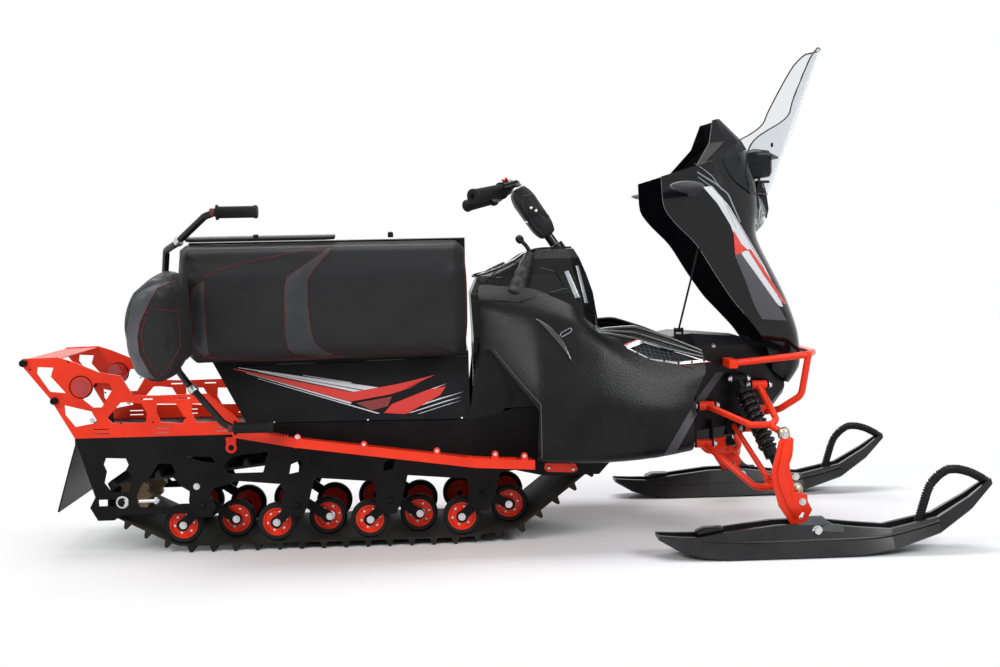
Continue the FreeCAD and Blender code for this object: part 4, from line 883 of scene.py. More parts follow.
def ribbed_grip(start, way, length, radius):
    """Rubber grip: flange, finger ribs and a thick end."""
    profile = [(0, radius * 0.8), (0, radius * 1.22), (4, radius * 1.25), (6, radius * 1.02)]
    at = 9
    while at < length - 14:
        profile += [(at, radius * 0.96), (at + 1.2, radius * 0.90), (at + 2.4, radius * 0.96)]
        at += 4.4
    profile += [
        (length - 11, radius * 0.96), (length - 9, radius * 1.06), (length - 3, radius * 1.06),
        (length, radius * 0.94), (length, radius * 0.4), (length - 3, radius * 0.34),
    ]
    return turned(profile, start, way, 28)


def dress_passenger_handle():
    """Rubbers on both grips of the rear handle, and the clamps and sleeves on its tubes."""
    grips = []
    for across in (SEAT_MIDDLE - HANDLE_REACH, SEAT_MIDDLE + HANDLE_REACH):
        grips.append(ribbed_grip(seat_point(-218, across, 215), (1, 0, 0), 106, 16.2))
    grips = hang(join(grips), "passenger_grip_rubbers", "black_rubber", "seat")
    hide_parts("passenger_grips")
    route = ((-222, HANDLE_REACH, 215), (-250, 289, 205), (-344, 201, 142))
    clamps, rings, dots = [], [], []
    for side in (-1, 1):
        points = [seat_point(x, SEAT_MIDDLE + side * reach, height) for x, reach, height in route]
        front, bend, rear = (Vector(point) for point in points)
        way = (rear - bend).normalized()
        low = bend + way * 118
        clamps.append(turned([(0, 10), (0, 12.6), (3, 13.4), (15, 13.4), (18, 12.6), (18, 10)], low, way))
        start = front + Vector((-12, 0, 0))
        rings.append(turned([(0, 9.6), (0, 10.8), (13, 10.8), (13, 9.6)], start, (1, 0, 0)))
        dots.append(turned([(0, 9.8), (0, 11.1), (5, 11.1), (5, 9.8)], start + Vector((4, 0, 0)), (1, 0, 0)))
    hang(join(clamps), "handle_clamps", "bare_steel", "seat")
    hang(join(rings), "handle_sleeves", "grey_vinyl", "seat")
    hang(join(dots), "handle_marks", "red_thread", "seat")


def make_seat_trim():
    """Black rail and latch nubs along the far edge of the raised seat."""

    def on_edge(a, b, c):
        """Place on the far edge of the seat."""
        return seat_point(a, 347 + c, b)

    rail = plate([(-340, 8), (66, 8), (66, 34), (40, 40), (-330, 40), (-352, 26)], on_edge, 9, 2.5)
    nubs = []
    for x in (-150, 219):
        outline = [(x - 6, 20), (x + 6, 20), (x + 8, 34), (x - 8, 34)]
        nubs.append(plate(outline, lambda a, b, c: on_edge(a, b, c + 2), 14, 2))
    hang(join([rail] + nubs), "seat_edge_rail", "black_plastic", "seat")


# Stripes on the box


def make_box_stripes():
    """Plain sweeping stripes, the same on both sides."""
    tree = surface(NODES["storage_box"])
    white = (
        ([(238.3, 367.3), (378.5, 387.4)], [(238.3, 367.9), (367, 390.4)]),
        ([(258, 371.4), (365, 391)], [(258, 371.9), (358, 392.7)]),
        ([(303, 375), (352, 382.6)], [(303, 375.4), (350, 383.2)]),
        ([(308, 377.4), (366, 386.2)], [(308, 377.8), (364, 387)]),
        ([(246, 372.8), (352, 402.6)], [(246, 373.2), (350, 403.8)]),
        ([(258, 378.4), (380, 413.2)], [(258, 378.8), (377, 413.6)]),
        ([(404, 411), (464, 391.6)], [(400, 411.4), (440, 398)]),
        ([(412, 412.6), (462, 396.6)], [(408, 413), (446, 400.6)]),
        ([(420, 413.6), (461, 400.4)], [(417, 414), (450, 403.4)]),
        ([(412, 398), (447, 383.4)], [(409, 398.6), (432, 388.4)]),
    )
    red = (
        ([(233.5, 368.4), (351.2, 392.2), (398, 384), (436, 374.6)],
         [(233.5, 369), (350, 401.6), (392, 394), (420, 384)]),
        ([(392, 404), (428, 389.6), (446, 386.4)], [(384, 413), (406, 414), (440, 395)]),
    )
    deep = (([(356, 403), (392, 396.4)], [(372, 410.4), (388, 406)]),)
    for name, shapes, lift in (("white", white, 0.5), ("red", red, 0.6), ("deep", deep, 0.7)):
        bands = [laid_panel(tree, upper, lower, lift, 24, 2) for upper, lower in shapes]
        hang_pair(join(bands), "box_stripes_" + name, "stripe_" + name, "chassis", 60)


# Side cowls


COWL_STATIONS = (
    (462, [(-209, 240), (-222, 300), (-238, 480), (-206, 700), (-150, 752)]),
    (620, [(-205, 236), (-330, 250), (-350, 420), (-262, 665), (-190, 738)]),
    (725, [(-205, 234), (-334, 246), (-352, 410), (-282, 640), (-222, 690)]),
    (799, [(-205, 232), (-334, 246), (-350, 400), (-290, 596), (-224, 618)]),
    (905, [(-205, 236), (-328, 252), (-338, 390), (-292, 508), (-224, 626)]),
    (1000, [(-205, 246), (-310, 262), (-318, 380), (-284, 474), (-224, 594)]),
    (1104, [(-205, 262), (-270, 280), (-276, 390), (-256, 492), (-224, 548)]),
)


def at_station(x):
    """Cowl outline between two stations."""
    for (x_a, line_a), (x_b, line_b) in zip(COWL_STATIONS, COWL_STATIONS[1:]):
        if x <= x_b:
            share = (x - x_a) / (x_b - x_a)
            return [Vector(a).lerp(Vector(b), share) for a, b in zip(line_a, line_b)]
    return [Vector(point) for point in COWL_STATIONS[-1][1]]


def cut_by(piece, outline, y_from, y_to):
    """Cut a hole seen from the side."""
    tool = plate(outline, lambda a, b, c: (a, y_from + c, b), y_to - y_from)
    pick_only(piece)
    bpy.ops.object.modifier_add(type="BOOLEAN")
    cut = piece.modifiers[-1]
    cut.operation = "DIFFERENCE"
    cut.object = tool
    bpy.ops.object.modifier_apply(modifier=cut.name)
    bpy.data.objects.remove(tool)


VENT = [(873, 567), (920, 582), (1100, 523), (1026, 519), (938, 533)]
VENT_MIDDLE = Vector((985, 548))


def make_cowl():
    """Smooth skin over the right side cowl, cut out at the vent and at both ends."""
    rows = []
    count = 34
    x_rear, x_front = COWL_STATIONS[0][0], COWL_STATIONS[-1][0]
    for step in range(count + 1):
        x = x_rear + (x_front - x_rear) * step / count
        flange, belly, flare, shoulder, rim = at_station(x)
        run = [flange]
        for a, b, shares in (
            (flange, belly, (0.5, 0.9)), (belly, flare, (0.12, 0.5, 0.86)),
            (flare, shoulder, (0.10, 0.32, 0.55, 0.78, 0.93)), (shoulder, rim, (0.10, 0.5)),
        ):
            run += [a.lerp(b, share) for share in shares]
        rows.append([(x, y - 0.9, z) for y, z in run + [rim]])
    cowl = skin(rows)
    edit(cowl, FACE_OUT)
    ease_inside(cowl, len(rows[0]), len(rows), 3)
    work(cowl, "SUBSURF", levels=1, render_levels=1)
    face_toward(cowl, (0, -1, 0))
    work(cowl, "SOLIDIFY", thickness=3.4 * MM, offset=-1)
    rear = [(430, 190), (613, 190), (613, 257), (619, 404), (489, 568), (430, 568)]
    front = [(1063, 190), (1063, 420), (1106, 496), (1140, 496), (1140, 190)]
    for outline, far in ((rear, -150), (front, -150), (VENT, -215)):
        cut_by(cowl, outline, -420, far)
    return hang(cowl, "cowl_skin_right", "grained_plastic", "chassis", 34)


def make_cowls():
    """Skins of both side cowls, with the ridges, edges, seams and panels that lie on them."""
    right = make_cowl()
    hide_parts("side_cowl_right")
    left = left_copy(right, "cowl_skin_left", "grained_plastic", "chassis", 34)
    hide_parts("side_cowl_left")
    tree = surface(right, NODES["dash_console"], NODES["belly_pan"], NODES["engine_bay_cover"])
    hang_pair(shoulder_ridge(tree), "cowl_ridge_right", "polished_ridge", "chassis", 50)
    lip = [
        laid_line(tree, [(494, 350), (515, 376), (541, 405), (542, 461)], 2.4, 0.2, 60),
        laid_line(tree, [(472, 342), (473, 420)], 1.8, 0.2, 40),
    ]
    hang_pair(join(lip), "cowl_edge_right", "polished_ridge", "chassis", 60)
    oval = [(560, 336), (561, 333), (570, 328), (572, 329), (571, 332), (562, 337), (560, 336)]
    rim = laid_line(tree, oval, 1.2, 0.3)
    hang(rim, "cowl_recess_rim_right", "cast_block", "chassis", 60)
    strip = laid_panel(
        tree, [(716, 372), (697, 398), (672, 441), (657, 466)],
        [(724, 372), (706, 398), (682, 441), (668, 466)], 1.6, 20, 2)
    hang_pair(strip, "cowl_strip_right", "satin_grey", "chassis", 40)
    seams = []
    for line in (
        [(468, 301), (500, 301), (520, 303), (540, 295)],
        [(520, 302), (566, 288), (600, 320), (636, 352), (700, 371)],
        [(565, 470), (590, 452), (612, 444), (640, 452), (668, 466)],
    ):
        seams.append(laid_line(tree, line, 1.3, 0.2, 40))
    hang_pair(join(seams), "cowl_seams_right", "gloss_black_plastic", "chassis", 60)
    make_vents(right)
    shin = surface(NODES["dash_console"], NODES["tunnel_roof"])
    guard = plate(
        [(466, 342), (488, 345), (515, 397), (503, 421), (503, 430), (470, 430)],
        lambda a, b, c: tuple(seen(shin, a, b) + Vector((0, -c, 0))), 5, 1.5)
    hang_pair(guard, "leg_panel_right", "grained_plastic", "chassis")


def shoulder_ridge(tree):
    """Teardrop ridge at the rear of a cowl's shoulder."""
    spine = [(534, 318), (548, 328), (562, 343), (573, 364)]
    half = 12
    rings = []
    for lift, grow in ((0.2, 1.0), (6.5, 0.62), (9.0, 0.12)):
        ring = []
        for index in range(2 * half):
            side = -1 if index < half else 1
            share = (index if index < half else 2 * half - 1 - index) / (half - 1)
            middle = along(spine, share)
            wide = 3.4 * math.sin(math.pi * share) ** 0.7 * grow if 0 < share < 1 else 0.0
            ring.append(seen(tree, middle.x - side * wide * 0.7, middle.y + side * wide, lift))
        rings.append(ring)
    ridge = loft(rings)
    work(ridge, "SUBSURF", levels=1, render_levels=1)
    return ridge


def make_vents(cowl):
    """Silver frame, red line and small bolts of each side vent."""
    tree = surface(cowl)

    def depth_at(x, z):
        """How far out the cowl lies at a place seen from the side."""
        point, _, _, _ = tree.find_nearest(Vector((x, -260, z)) * MM)
        return point.y / MM

    def ring_about(grow):
        """Outline of the vent, grown about its middle."""
        return [VENT_MIDDLE + (Vector(corner) - VENT_MIDDLE) * grow for corner in VENT]

    def band(inner, outer, height):
        """Raised border between two outlines, as far out as the cowl a little outside each."""
        rings = []
        for outline, lift in ((outer, 0), (outer, height), (inner, height), (inner, 0)):
            ring = []
            for a, b in zip(outline, outline[1:] + outline[:1]):
                for share in (0, 0.34, 0.67):
                    place = a.lerp(b, share)
                    outside = place - (VENT_MIDDLE - place).normalized() * (4 if outline is outer else 8)
                    ring.append((place.x, depth_at(*outside) - lift, place.y))
            rings.append(ring + [ring[0]])
        piece = skin(rings + [rings[0]])
        edit(piece, MERGE, FACE_OUT)
        return piece

    border = band(ring_about(0.90), ring_about(1.12), 3.0)
    hang(border, "vent_frame_right", "satin_silver", "chassis", 40)
    line = band(ring_about(1.13), ring_about(1.18), 1.6)
    hang(line, "vent_line_right", "stripe_red", "chassis", 40)
    corners = ring_about(1.01)
    places = []
    for index, corner in enumerate(corners):
        ahead = corners[(index + 1) % len(corners)]
        for share in ((0.02, 0.5) if (ahead - corner).length > 60 else (0.02,)):
            place = corner.lerp(ahead, share)
            places.append(((place.x, depth_at(place.x, place.y) - 3.0, place.y), (0, -1, 0.25)))
    bolts = scatter(model_cap(3.4, 2.4), places)
    hang(bolts, "vent_bolts_right", "black_paint", "chassis")
    for piece, finish in ((border, "satin_silver"), (line, "stripe_red"), (bolts, "black_paint")):
        left_copy(piece, piece.name.replace("right", "left"), finish, "chassis")


# Hood


HOOD_STATIONS = (
    ((1342, 472), (1399, 431), 92, 84, 60), ((1330, 505), (1434, 482), 118, 104, 72),
    ((1308, 548), (1430, 531), 148, 128, 82), ((1284, 590), (1421, 596), 172, 148, 88),
    ((1236, 646), (1387, 689), 196, 160, 92), ((1196, 690), (1352, 760), 206, 168, 94),
    ((1142, 770), (1312, 836), 212, 172, 94), ((1090, 856), (1292, 884), 212, 172, 92),
    ((1030, 914), (1306, 960), 212, 168, 96), ((994, 960), (1300, 1040), 212, 160, 96),
    ((990, 1050), (1268, 1130), 206, 150, 88),
)


def hood_row(station):
    """Points across one section of the hood, from rim to rim over the ridge."""
    rim, ridge, half, shoulder, top = station
    rim, ridge = Vector(rim), Vector(ridge)
    depth = (ridge - rim).length
    up = (ridge - rim).normalized()
    side = [
        (half, 0), (half, 0.22 * depth), (half * 0.99, 0.44 * depth), (half * 0.955, 0.56 * depth),
        ((half + shoulder) / 2, 0.68 * depth), (shoulder, 0.79 * depth), (shoulder * 0.93, 0.86 * depth),
        ((shoulder + top) / 2, 0.93 * depth), (top, depth), (top * 0.45, depth + 2.5),
    ]
    line = [(-across, along_it) for across, along_it in side] + [(0, depth + 3)] + side[::-1]
    row = []
    for across, along_it in line:
        place = rim + up * along_it
        row.append((place.x, across, place.y))
    return row


def between(first, second, share):
    """Section of the hood between two stations."""
    mixed = []
    for one, two in zip(first, second):
        if isinstance(one, tuple):
            mixed.append(between(one, two, share))
        else:
            mixed.append(one + (two - one) * share)
    return mixed


def make_hood():
    """Smooth hood shell with its hinge ears and brackets, and the stripes and creases on it."""
    rows = []
    for first, second in zip(HOOD_STATIONS, HOOD_STATIONS[1:]):
        rows += [hood_row(between(first, second, share)) for share in (0, 0.5)]
    rows.append(hood_row(HOOD_STATIONS[-1]))
    shell = skin(rows)
    across = len(rows[0]) - 1
    for face in shell.data.polygons:
        column = face.index % across
        face.material_index = 1 if column < 3 or column >= across - 3 else 0
    ease_inside(shell, len(rows[0]), len(rows), 2)
    work(shell, "SUBSURF", levels=1, render_levels=1, boundary_smooth="PRESERVE_CORNERS")
    face_toward(shell, (1, 0, 0))
    work(shell, "SOLIDIFY", thickness=4 * MM, offset=-1, material_offset_rim=1)
    ears = []
    for side in (-56, 56):
        ears.append(plate(
            [(1388, 492), (1433, 486), (1430, 524), (1400, 514)],
            lambda a, b, c: (a, side - 4 + c, b), 8, 1.5))
        ears.append(turned([(0, 6), (0, 14), (8, 14), (8, 6)], (1400, side - 4, 500), (0, 1, 0), 24))
        ears.append(plate(
            [(1284, 1034), (1347, 1034), (1347, 1042), (1284, 1042)],
            lambda a, b, c: (a, side * 0.71 - 6 + c, b), 12, 1))
    shell = hang(join([shell] + ears), "hood_skin", "gloss_black_plastic", "hood", 34)
    shell.data.materials.append(FINISH["grained_plastic"])
    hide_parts("hood_shell")
    lay_hood_stripes(surface(shell))


def lay_hood_stripes(tree):
    """Films and the crease line on both flanks of the hood."""
    sweep = laid_panel(
        tree, [(703, 187), (717, 203), (731, 226), (737, 246), (760, 284), (779, 306)],
        [(712, 186), (729, 206), (745, 233), (764, 266), (781, 300), (783, 307)], 0.9, 40, 6)
    hang(sweep, "hood_sweep", "stripe_white", "hood", 40)
    patch = laid_panel(
        tree, [(735, 256), (745, 280), (754, 305), (763, 321)],
        [(740, 252), (760, 280), (776, 303), (788, 323)], 1.2, 30, 4)
    hang(patch, "hood_patch", "stripe_grey", "hood", 40)
    arrow = laid_panel(
        tree, [(733, 231), (734, 245), (735, 257)], [(734, 232), (741, 244), (748, 251)], 2.3, 16, 3)
    pin = laid_panel(
        tree, [(748, 250), (764, 276), (785, 306)], [(750, 249), (768, 276), (787, 306)], 1.6, 30, 2)
    hang(join([arrow, pin]), "hood_stripe_red", "stripe_red", "hood", 40)
    edge = laid_panel(
        tree, [(741, 248), (756, 272), (776, 303)], [(743, 247), (759, 272), (779, 303)], 1.6, 30, 2)
    hang(edge, "hood_stripe_white", "stripe_white", "hood", 40)
    crease = laid_line(tree, [(727, 205), (744, 233), (762, 266), (780, 300), (792, 332)], 1.2, 0.4, 40)
    hang(crease, "hood_creases", "gloss_black_plastic", "hood", 60)
    for name, finish in (
        ("hood_sweep", "stripe_white"), ("hood_patch", "stripe_grey"), ("hood_stripe_red", "stripe_red"),
        ("hood_stripe_white", "stripe_white"), ("hood_creases", "gloss_black_plastic"),
    ):
        left_copy(bpy.data.objects[name], name + "_left", finish, "hood", 40)


def make_shroud_trim():
    """Ridge lines of the shroud, instrument back and visor under the screen, and the headlamp's brow."""
    tree = surface(NODES["instrument_shroud"], NODES["headlamp"], bpy.data.objects["hood_skin"])
    lines = [
        laid_line(tree, [(697, 172), (716, 184), (728, 194), (740, 222)], 2.0, 0.4, 30),
        laid_line(tree, [(698, 177), (712, 187), (723, 199), (736, 228)], 1.4, 0.4, 30),
        laid_line(tree, [(694, 163), (702, 168), (712, 176), (722, 190)], 1.2, 0.4, 30),
    ]
    hang_pair(join(lines), "shroud_lines_right", "satin_silver", "hood", 60)
    rings = []
    for x, half, low, high in (
        (1262, 60, 1052, 1128), (1300, 66, 1046, 1136), (1346, 58, 1052, 1132), (1356, 44, 1064, 1122),
    ):
        rings.append([
            (x, -half, low + 8), (x, -half + 8, low), (x, half - 8, low), (x, half, low + 8),
            (x, half, high - 10), (x, half - 14, high), (x, -half + 14, high), (x, -half, high - 10),
        ])
    cover = loft(rings)
    work(cover, "BEVEL", width=4 * MM, segments=2, limit_method="ANGLE")
    hang(cover, "instrument_back", "gloss_black_plastic", "hood")
    lip = plate(
        [(1290, 1128), (1352, 1122), (1372, 1112), (1374, 1106), (1352, 1112), (1290, 1118)],
        lambda a, b, c: (a, -52 + c, b), 104, 2)
    hang(lip, "instrument_visor", "satin_grey", "hood")
    brow = plate(
        [(1292, 1012), (1312, 1036), (1326, 1034), (1334, 1000), (1340, 956), (1334, 926), (1318, 950),
         (1304, 990)],
        lambda a, b, c: (a, -66 + c, b), 132, 4)
    hang(brow, "lamp_brow", "gloss_black_plastic", "hood")


SCREEN_LEVELS = (
    (1000, 1350, 1262, 150), (1060, 1374, 1240, 188), (1150, 1409, 1262, 196), (1215, 1434, 1372, 150),
    (1262, 1452, 1392, 132), (1400, 1503, 1462, 88), (1430, 1514, 1490, 64),
)


def screen_point(level, share):
    """Point across one section of the screen: -1 and 1 are its edges."""
    z, crown, edge, half = level
    return Vector((crown - (crown - edge) * share * share, share * half, z))


def smooth_levels(count):
    """Screen sections in between, eased so that the outline runs in one curve."""
    marks = [level[0] for level in SCREEN_LEVELS]
    levels = []
    for step in range(count + 1):
        z = marks[0] + (marks[-1] - marks[0]) * step / count
        spot = max(index for index in range(len(marks) - 1) if marks[index] <= z + 1e-6)
        share = (z - marks[spot]) / (marks[spot + 1] - marks[spot])
        before = SCREEN_LEVELS[max(spot - 1, 0)]
        start, end = SCREEN_LEVELS[spot], SCREEN_LEVELS[spot + 1]
        after = SCREEN_LEVELS[min(spot + 2, len(marks) - 1)]
        level = [z]
        for index in (1, 2, 3):
            slope_a = (end[index] - before[index]) / (end[0] - before[0]) * (end[0] - start[0])
            slope_b = (after[index] - start[index]) / (after[0] - start[0]) * (end[0] - start[0])
            square, cube = share * share, share ** 3
            level.append(
                (2 * cube - 3 * square + 1) * start[index] + (cube - 2 * square + share) * slope_a
                + (-2 * cube + 3 * square) * end[index] + (cube - square) * slope_b)
        levels.append(level)
    return levels


def make_screen():
    """Bowed clear windshield with a black edge and four screws."""
    levels = smooth_levels(34)
    rows = [[screen_point(level, -1 + 2 * index / 20) for index in range(21)] for level in levels]
    pane = skin(rows)
    face_toward(pane, (1, 0, 0))
    work(pane, "SOLIDIFY", thickness=3.6 * MM, offset=-1)
    hang(pane, "screen_pane", "windshield_clear", "hood", 40)
    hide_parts("windshield")
    route = [row[0] for row in rows] + rows[-1][1:-1] + [row[-1] for row in rows[::-1]]
    low = rows[0][::-1]
    trim = wire([point + Vector((-1.6, 0, 0)) for point in route[::2] + low[1::2] + [route[0]]], 2.4, 8)
    hang(trim, "screen_edge", "gloss_black_plastic", "hood", 60)
    places = []
    for share, level in ((-0.8, levels[3]), (0.8, levels[3]), (-0.72, levels[11]), (0.72, levels[11])):
        places.append((screen_point(level, share) + Vector((0.6, 0, 0)), (0.9, share, 0)))
    hang(scatter(model_cap(7, 4), places), "screen_screws", "black_paint", "hood")


def make_mirror_pieces():
    """Folded mirror heads with their stalks, smooth over the CAD blades."""
    rings = []
    for y, x_rear, x_front, z, depth in (
        (-214, 1068, 1088, 1004, 7), (-232, 1056, 1092, 1005, 10), (-262, 1030, 1094, 1009, 12),
        (-300, 1002, 1094, 1013, 13), (-336, 986, 1090, 1016, 13), (-358, 990, 1076, 1018, 11),
        (-371, 1004, 1058, 1020, 8),
    ):
        ring = []
        middle, reach = (x_rear + x_front) / 2, (x_front - x_rear) / 2
        for index in range(16):
            turn = 2 * math.pi * index / 16
            ring.append((middle + reach * math.cos(turn), y, z + depth * math.sin(turn)))
        rings.append(ring)
    head = loft(rings)
    work(head, "SUBSURF", levels=1, render_levels=1)
    foot = turned([(0, 10), (0, 14), (6, 15), (12, 11), (18, 9), (18, 5)], (1078, -206, 1004), (0, -1, 0))
    heads = both_sides(join([head, foot]))
    heads = hang(heads, "mirror_heads", "satin_grey", "hood", 50)
    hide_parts("mirrors")


def make_lamp_detail():
    """Reflector bowls behind the clear headlamp."""
    profile = [(0, 6), (0, 30), (3, 31), (3, 27), (-6, 20), (-14, 10), (-16, 4)]
    bowls = [turned(profile, (1304, y, 940), (1, 0, 0), 28) for y in (-42, 42)]
    hang(join(bowls), "lamp_bowls", "bare_steel", "hood")


# Rollers, bolts and running gear


PLATE_FACE = -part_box("side_plate_right")[0][1] / MM
ROLLERS = (
    (-399, 172, 80.5), (-258, 110, 80.5), (-133, 172, 80.5), (14, 110, 80.5), (136, 172, 80.5),
    (278, 110, 80.5), (400, 172, 80.5), (540, 110, 100),
)
HUB_PROFILE = ((-2, 4), (-2, 15), (1.5, 15), (3, 12.5), (3, 10), (5.5, 9.5), (5.5, 4))
RIM_PROFILE = ((-1, 37), (-1, 41.5), (1.6, 41.5), (2.2, 40), (2.2, 38), (0.6, 37))


def make_roller_pieces():
    """Six bolts, hub and rim of every roller, and the nut on its arm."""
    places, hubs, rims, nuts = [], [], [], []
    for x, y, z in ROLLERS:
        for side in (-1, 1):
            hub, rim, dish, arm = (side * (y + reach) for reach in (13, 8, 4, 22))
            hubs.append(turned(HUB_PROFILE, (x, hub, z), (0, side, 0), 24))
            rims.append(hoop(RIM_PROFILE, (x, rim, z), (0, side, 0), 36))
            nuts.append(((x, arm, z), (0, side, 0)))
            for index in range(6):
                turn = math.pi * index / 3 + 0.2
                places.append(((x + 27 * math.cos(turn), dish, z + 27 * math.sin(turn)), (0, side, 0)))
    hang(scatter(model_bolt(7.5, 8), nuts), "roller_nuts", "bare_steel", "chassis")
    hang(scatter(model_cap(4.2, 3.0), places), "roller_bolts", "bare_steel", "chassis")
    hang(join(hubs), "roller_hubs", "bare_steel", "chassis")
    hang(join(rims), "roller_rims", "red_paint", "chassis")


def make_plate_bolts():
    """Caps and bolts on the side plates, and bolts on the ears of the running boards."""
    pivots = mirror_places((x, PLATE_FACE, z) for x, z in ((-340, 139), (-73, 131), (194, 137), (459, 147)))
    hang(scatter(model_cap(9, 9), pivots), "pivot_bolts", "black_paint", "chassis")
    small = mirror_places([(-355, PLATE_FACE, 194)])
    hang(scatter(model_bolt(6.5, 6), small), "plate_bolts", "bare_steel", "chassis")
    ears = mirror_places((
        (-50, 325.5, 346), (132, 328.0, 322), (333, 333.1, 299), (494, 338.0, 286), (575, 339.5, 279)))
    hang(scatter(model_bolt(5, 5), ears), "board_bolts", "bare_steel", "chassis")


# Steering


COLUMN = Vector((640, 0, 953))
COLUMN_RAKE = math.radians(-34)


def on_column(ahead, across, up):
    """Point given about the raked steering column."""
    cosine, sine = math.cos(COLUMN_RAKE), math.sin(COLUMN_RAKE)
    return COLUMN + Vector((ahead * cosine + up * sine, across, up * cosine - ahead * sine))


def make_steering_pad():
    """Soft cover round the middle of the bar, with its piping, strap and studs, and the sleeve below it."""
    rings = []
    for up, depth, half, corner in (
        (-76, 23, 37, 6), (-50, 30, 49, 9), (-10, 31, 54, 10), (58, 31, 63, 10), (92, 23, 55, 7),
    ):
        wide, deep = half - corner, depth - corner
        outline = (
            (-depth, -wide), (-deep, -half), (deep, -half), (depth, -wide),
            (depth, wide), (deep, half), (-deep, half), (-depth, wide),
        )
        rings.append([on_column(ahead, across, up) for ahead, across in outline])
    pad = loft(rings)
    swell_pad(pad, 5, 2.6, lambda place: False)
    up = on_column(0, 0, 1) - COLUMN
    shaft = turned([(-108.8, 8), (-108.8, 14.2), (-70, 14.2), (-70, 8)], COLUMN, up, 24)
    pad = hang(pad, "steering_pad", "cushion_vinyl", "handlebars")
    hang(shaft, "steering_shaft_sleeve", "gloss_black_plastic", "handlebars")
    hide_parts("steering_column")
    tree = surface(pad)
    lines = [
        [(524, 183), (522, 205), (536, 228), (548, 240)], [(536, 184), (552, 205), (566, 229)],
        [(523, 196), (534, 194), (546, 197)],
    ]
    seams = [laid_line(tree, line, 1.4, 0.5, 40) for line in lines]
    hang(join(seams), "steering_pad_piping", "grey_vinyl", "handlebars", 60)
    strap = laid_panel(
        tree, [(524, 213), (538, 209), (556, 214)], [(527, 219), (541, 215), (559, 220)], 1.2, 20, 3, 0.6)
    hang(strap, "steering_pad_strap", "black_rubber", "handlebars", 40)
    studs = [(seen(tree, *spot, 0.8), (0, -1, 0.1)) for spot in ((531, 208), (548, 212), (527, 222))]
    hang(scatter(model_cap(5, 4), studs), "steering_pad_studs", "bare_steel", "handlebars")


GRIP_START, GRIP_END = Vector((539, -252, 1017)), Vector((447, -366, 996.5))
BAR_BEND = Vector((551, -190, 1030))
GRIP_RADIUS = (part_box("handlebar_grips")[1][2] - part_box("handlebar_grips")[0][2]) / MM * 0.38


def make_bar_grips():
    """Grip rubbers, switch boxes with their red buttons, and hand levers of both ends of the bar."""
    way = (GRIP_END - GRIP_START).normalized()
    start = GRIP_START + way * 12
    length = (GRIP_END - GRIP_START).length - 9
    grips = both_sides(ribbed_grip(start, way, length, GRIP_RADIUS * 0.97))
    grips = hang(grips, "bar_grips", "black_rubber", "handlebars")
    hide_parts("handlebar_grips")
    inward = (BAR_BEND - GRIP_START).normalized()
    middle = GRIP_START + inward * 22
    rings = []
    for at, wide in ((-8, 15), (-5, 18.5), (10, 21), (24, 20), (27, 16)):
        ring = []
        for index in range(12):
            turn = math.pi * index / 6
            ahead, up = math.cos(turn) * wide, math.sin(turn) * wide
            ring.append(middle + inward * at + Vector((ahead * 1.25 - 3, up * 0.4, up)))
        rings.append(ring)
    block = loft(rings)
    button, arm = middle + Vector((-6, 0, 19)) + inward * 10, middle + Vector((2, -4, 17)) + inward * 22
    reds = [
        turned([(0, 3), (0, 7), (5, 7.4), (7, 5), (7, 2)], button, (0.1, 0, 1)),
        turned([(0, 3), (0, 4.5), (20, 4.0), (24, 2.6)], arm, (-0.2, -0.9, 0.35)),
    ]
    reach = ((20, 0, 6), (44, -12, 10), (34, -70, 12), (0, -118, -2), (-12, -130, -4))
    lever = wire([middle + Vector(step) for step in reach], 4.6)
    hang(both_sides(block), "switch_blocks", "gloss_black_plastic", "handlebars")
    hang(both_sides(join(reds)), "switch_buttons", "stripe_red", "handlebars")
    hang(both_sides(lever), "hand_levers", "gloss_black_plastic", "handlebars")


# Console


def make_shift_lever(tree):
    """Folded leather boot with its stud, and the shift lever with its knob."""
    low, high = seen(tree, 514, 299, 10), seen(tree, 530, 256, 12)
    way = high - low
    folds = (
        (0, 8), (0, 32), (0.06, 34), (0.16, 26), (0.26, 32), (0.38, 22), (0.50, 28), (0.62, 18), (0.74, 23),
        (0.86, 15), (1.0, 17), (1.0, 6),
    )
    boot = turned([(share * way.length, radius) for share, radius in folds], low, way, 24)
    work(boot, "SUBSURF", levels=1, render_levels=1)
    hang(boot, "shift_boot", "leather_black", "chassis", 60)
    stud = turned([(0, 5), (0, 8), (3, 9), (6, 8), (6, 4)], seen(tree, 523, 293, 16), (0, -1, 0.2))
    hang(stud, "boot_stud", "bare_steel", "chassis")
    lever = wire([high, high + Vector((-8, -6, 22)), high + Vector((-24, -10, 34))], 6, 10)
    profile = [(0, 5), (2, 9), (10, 12), (20, 11), (25, 6), (26, 2)]
    knob = turned(profile, high + Vector((-24, -10, 32)), (-0.6, -0.2, 0.8))
    hang(join([lever, knob]), "shift_lever", "gloss_black_plastic", "chassis")


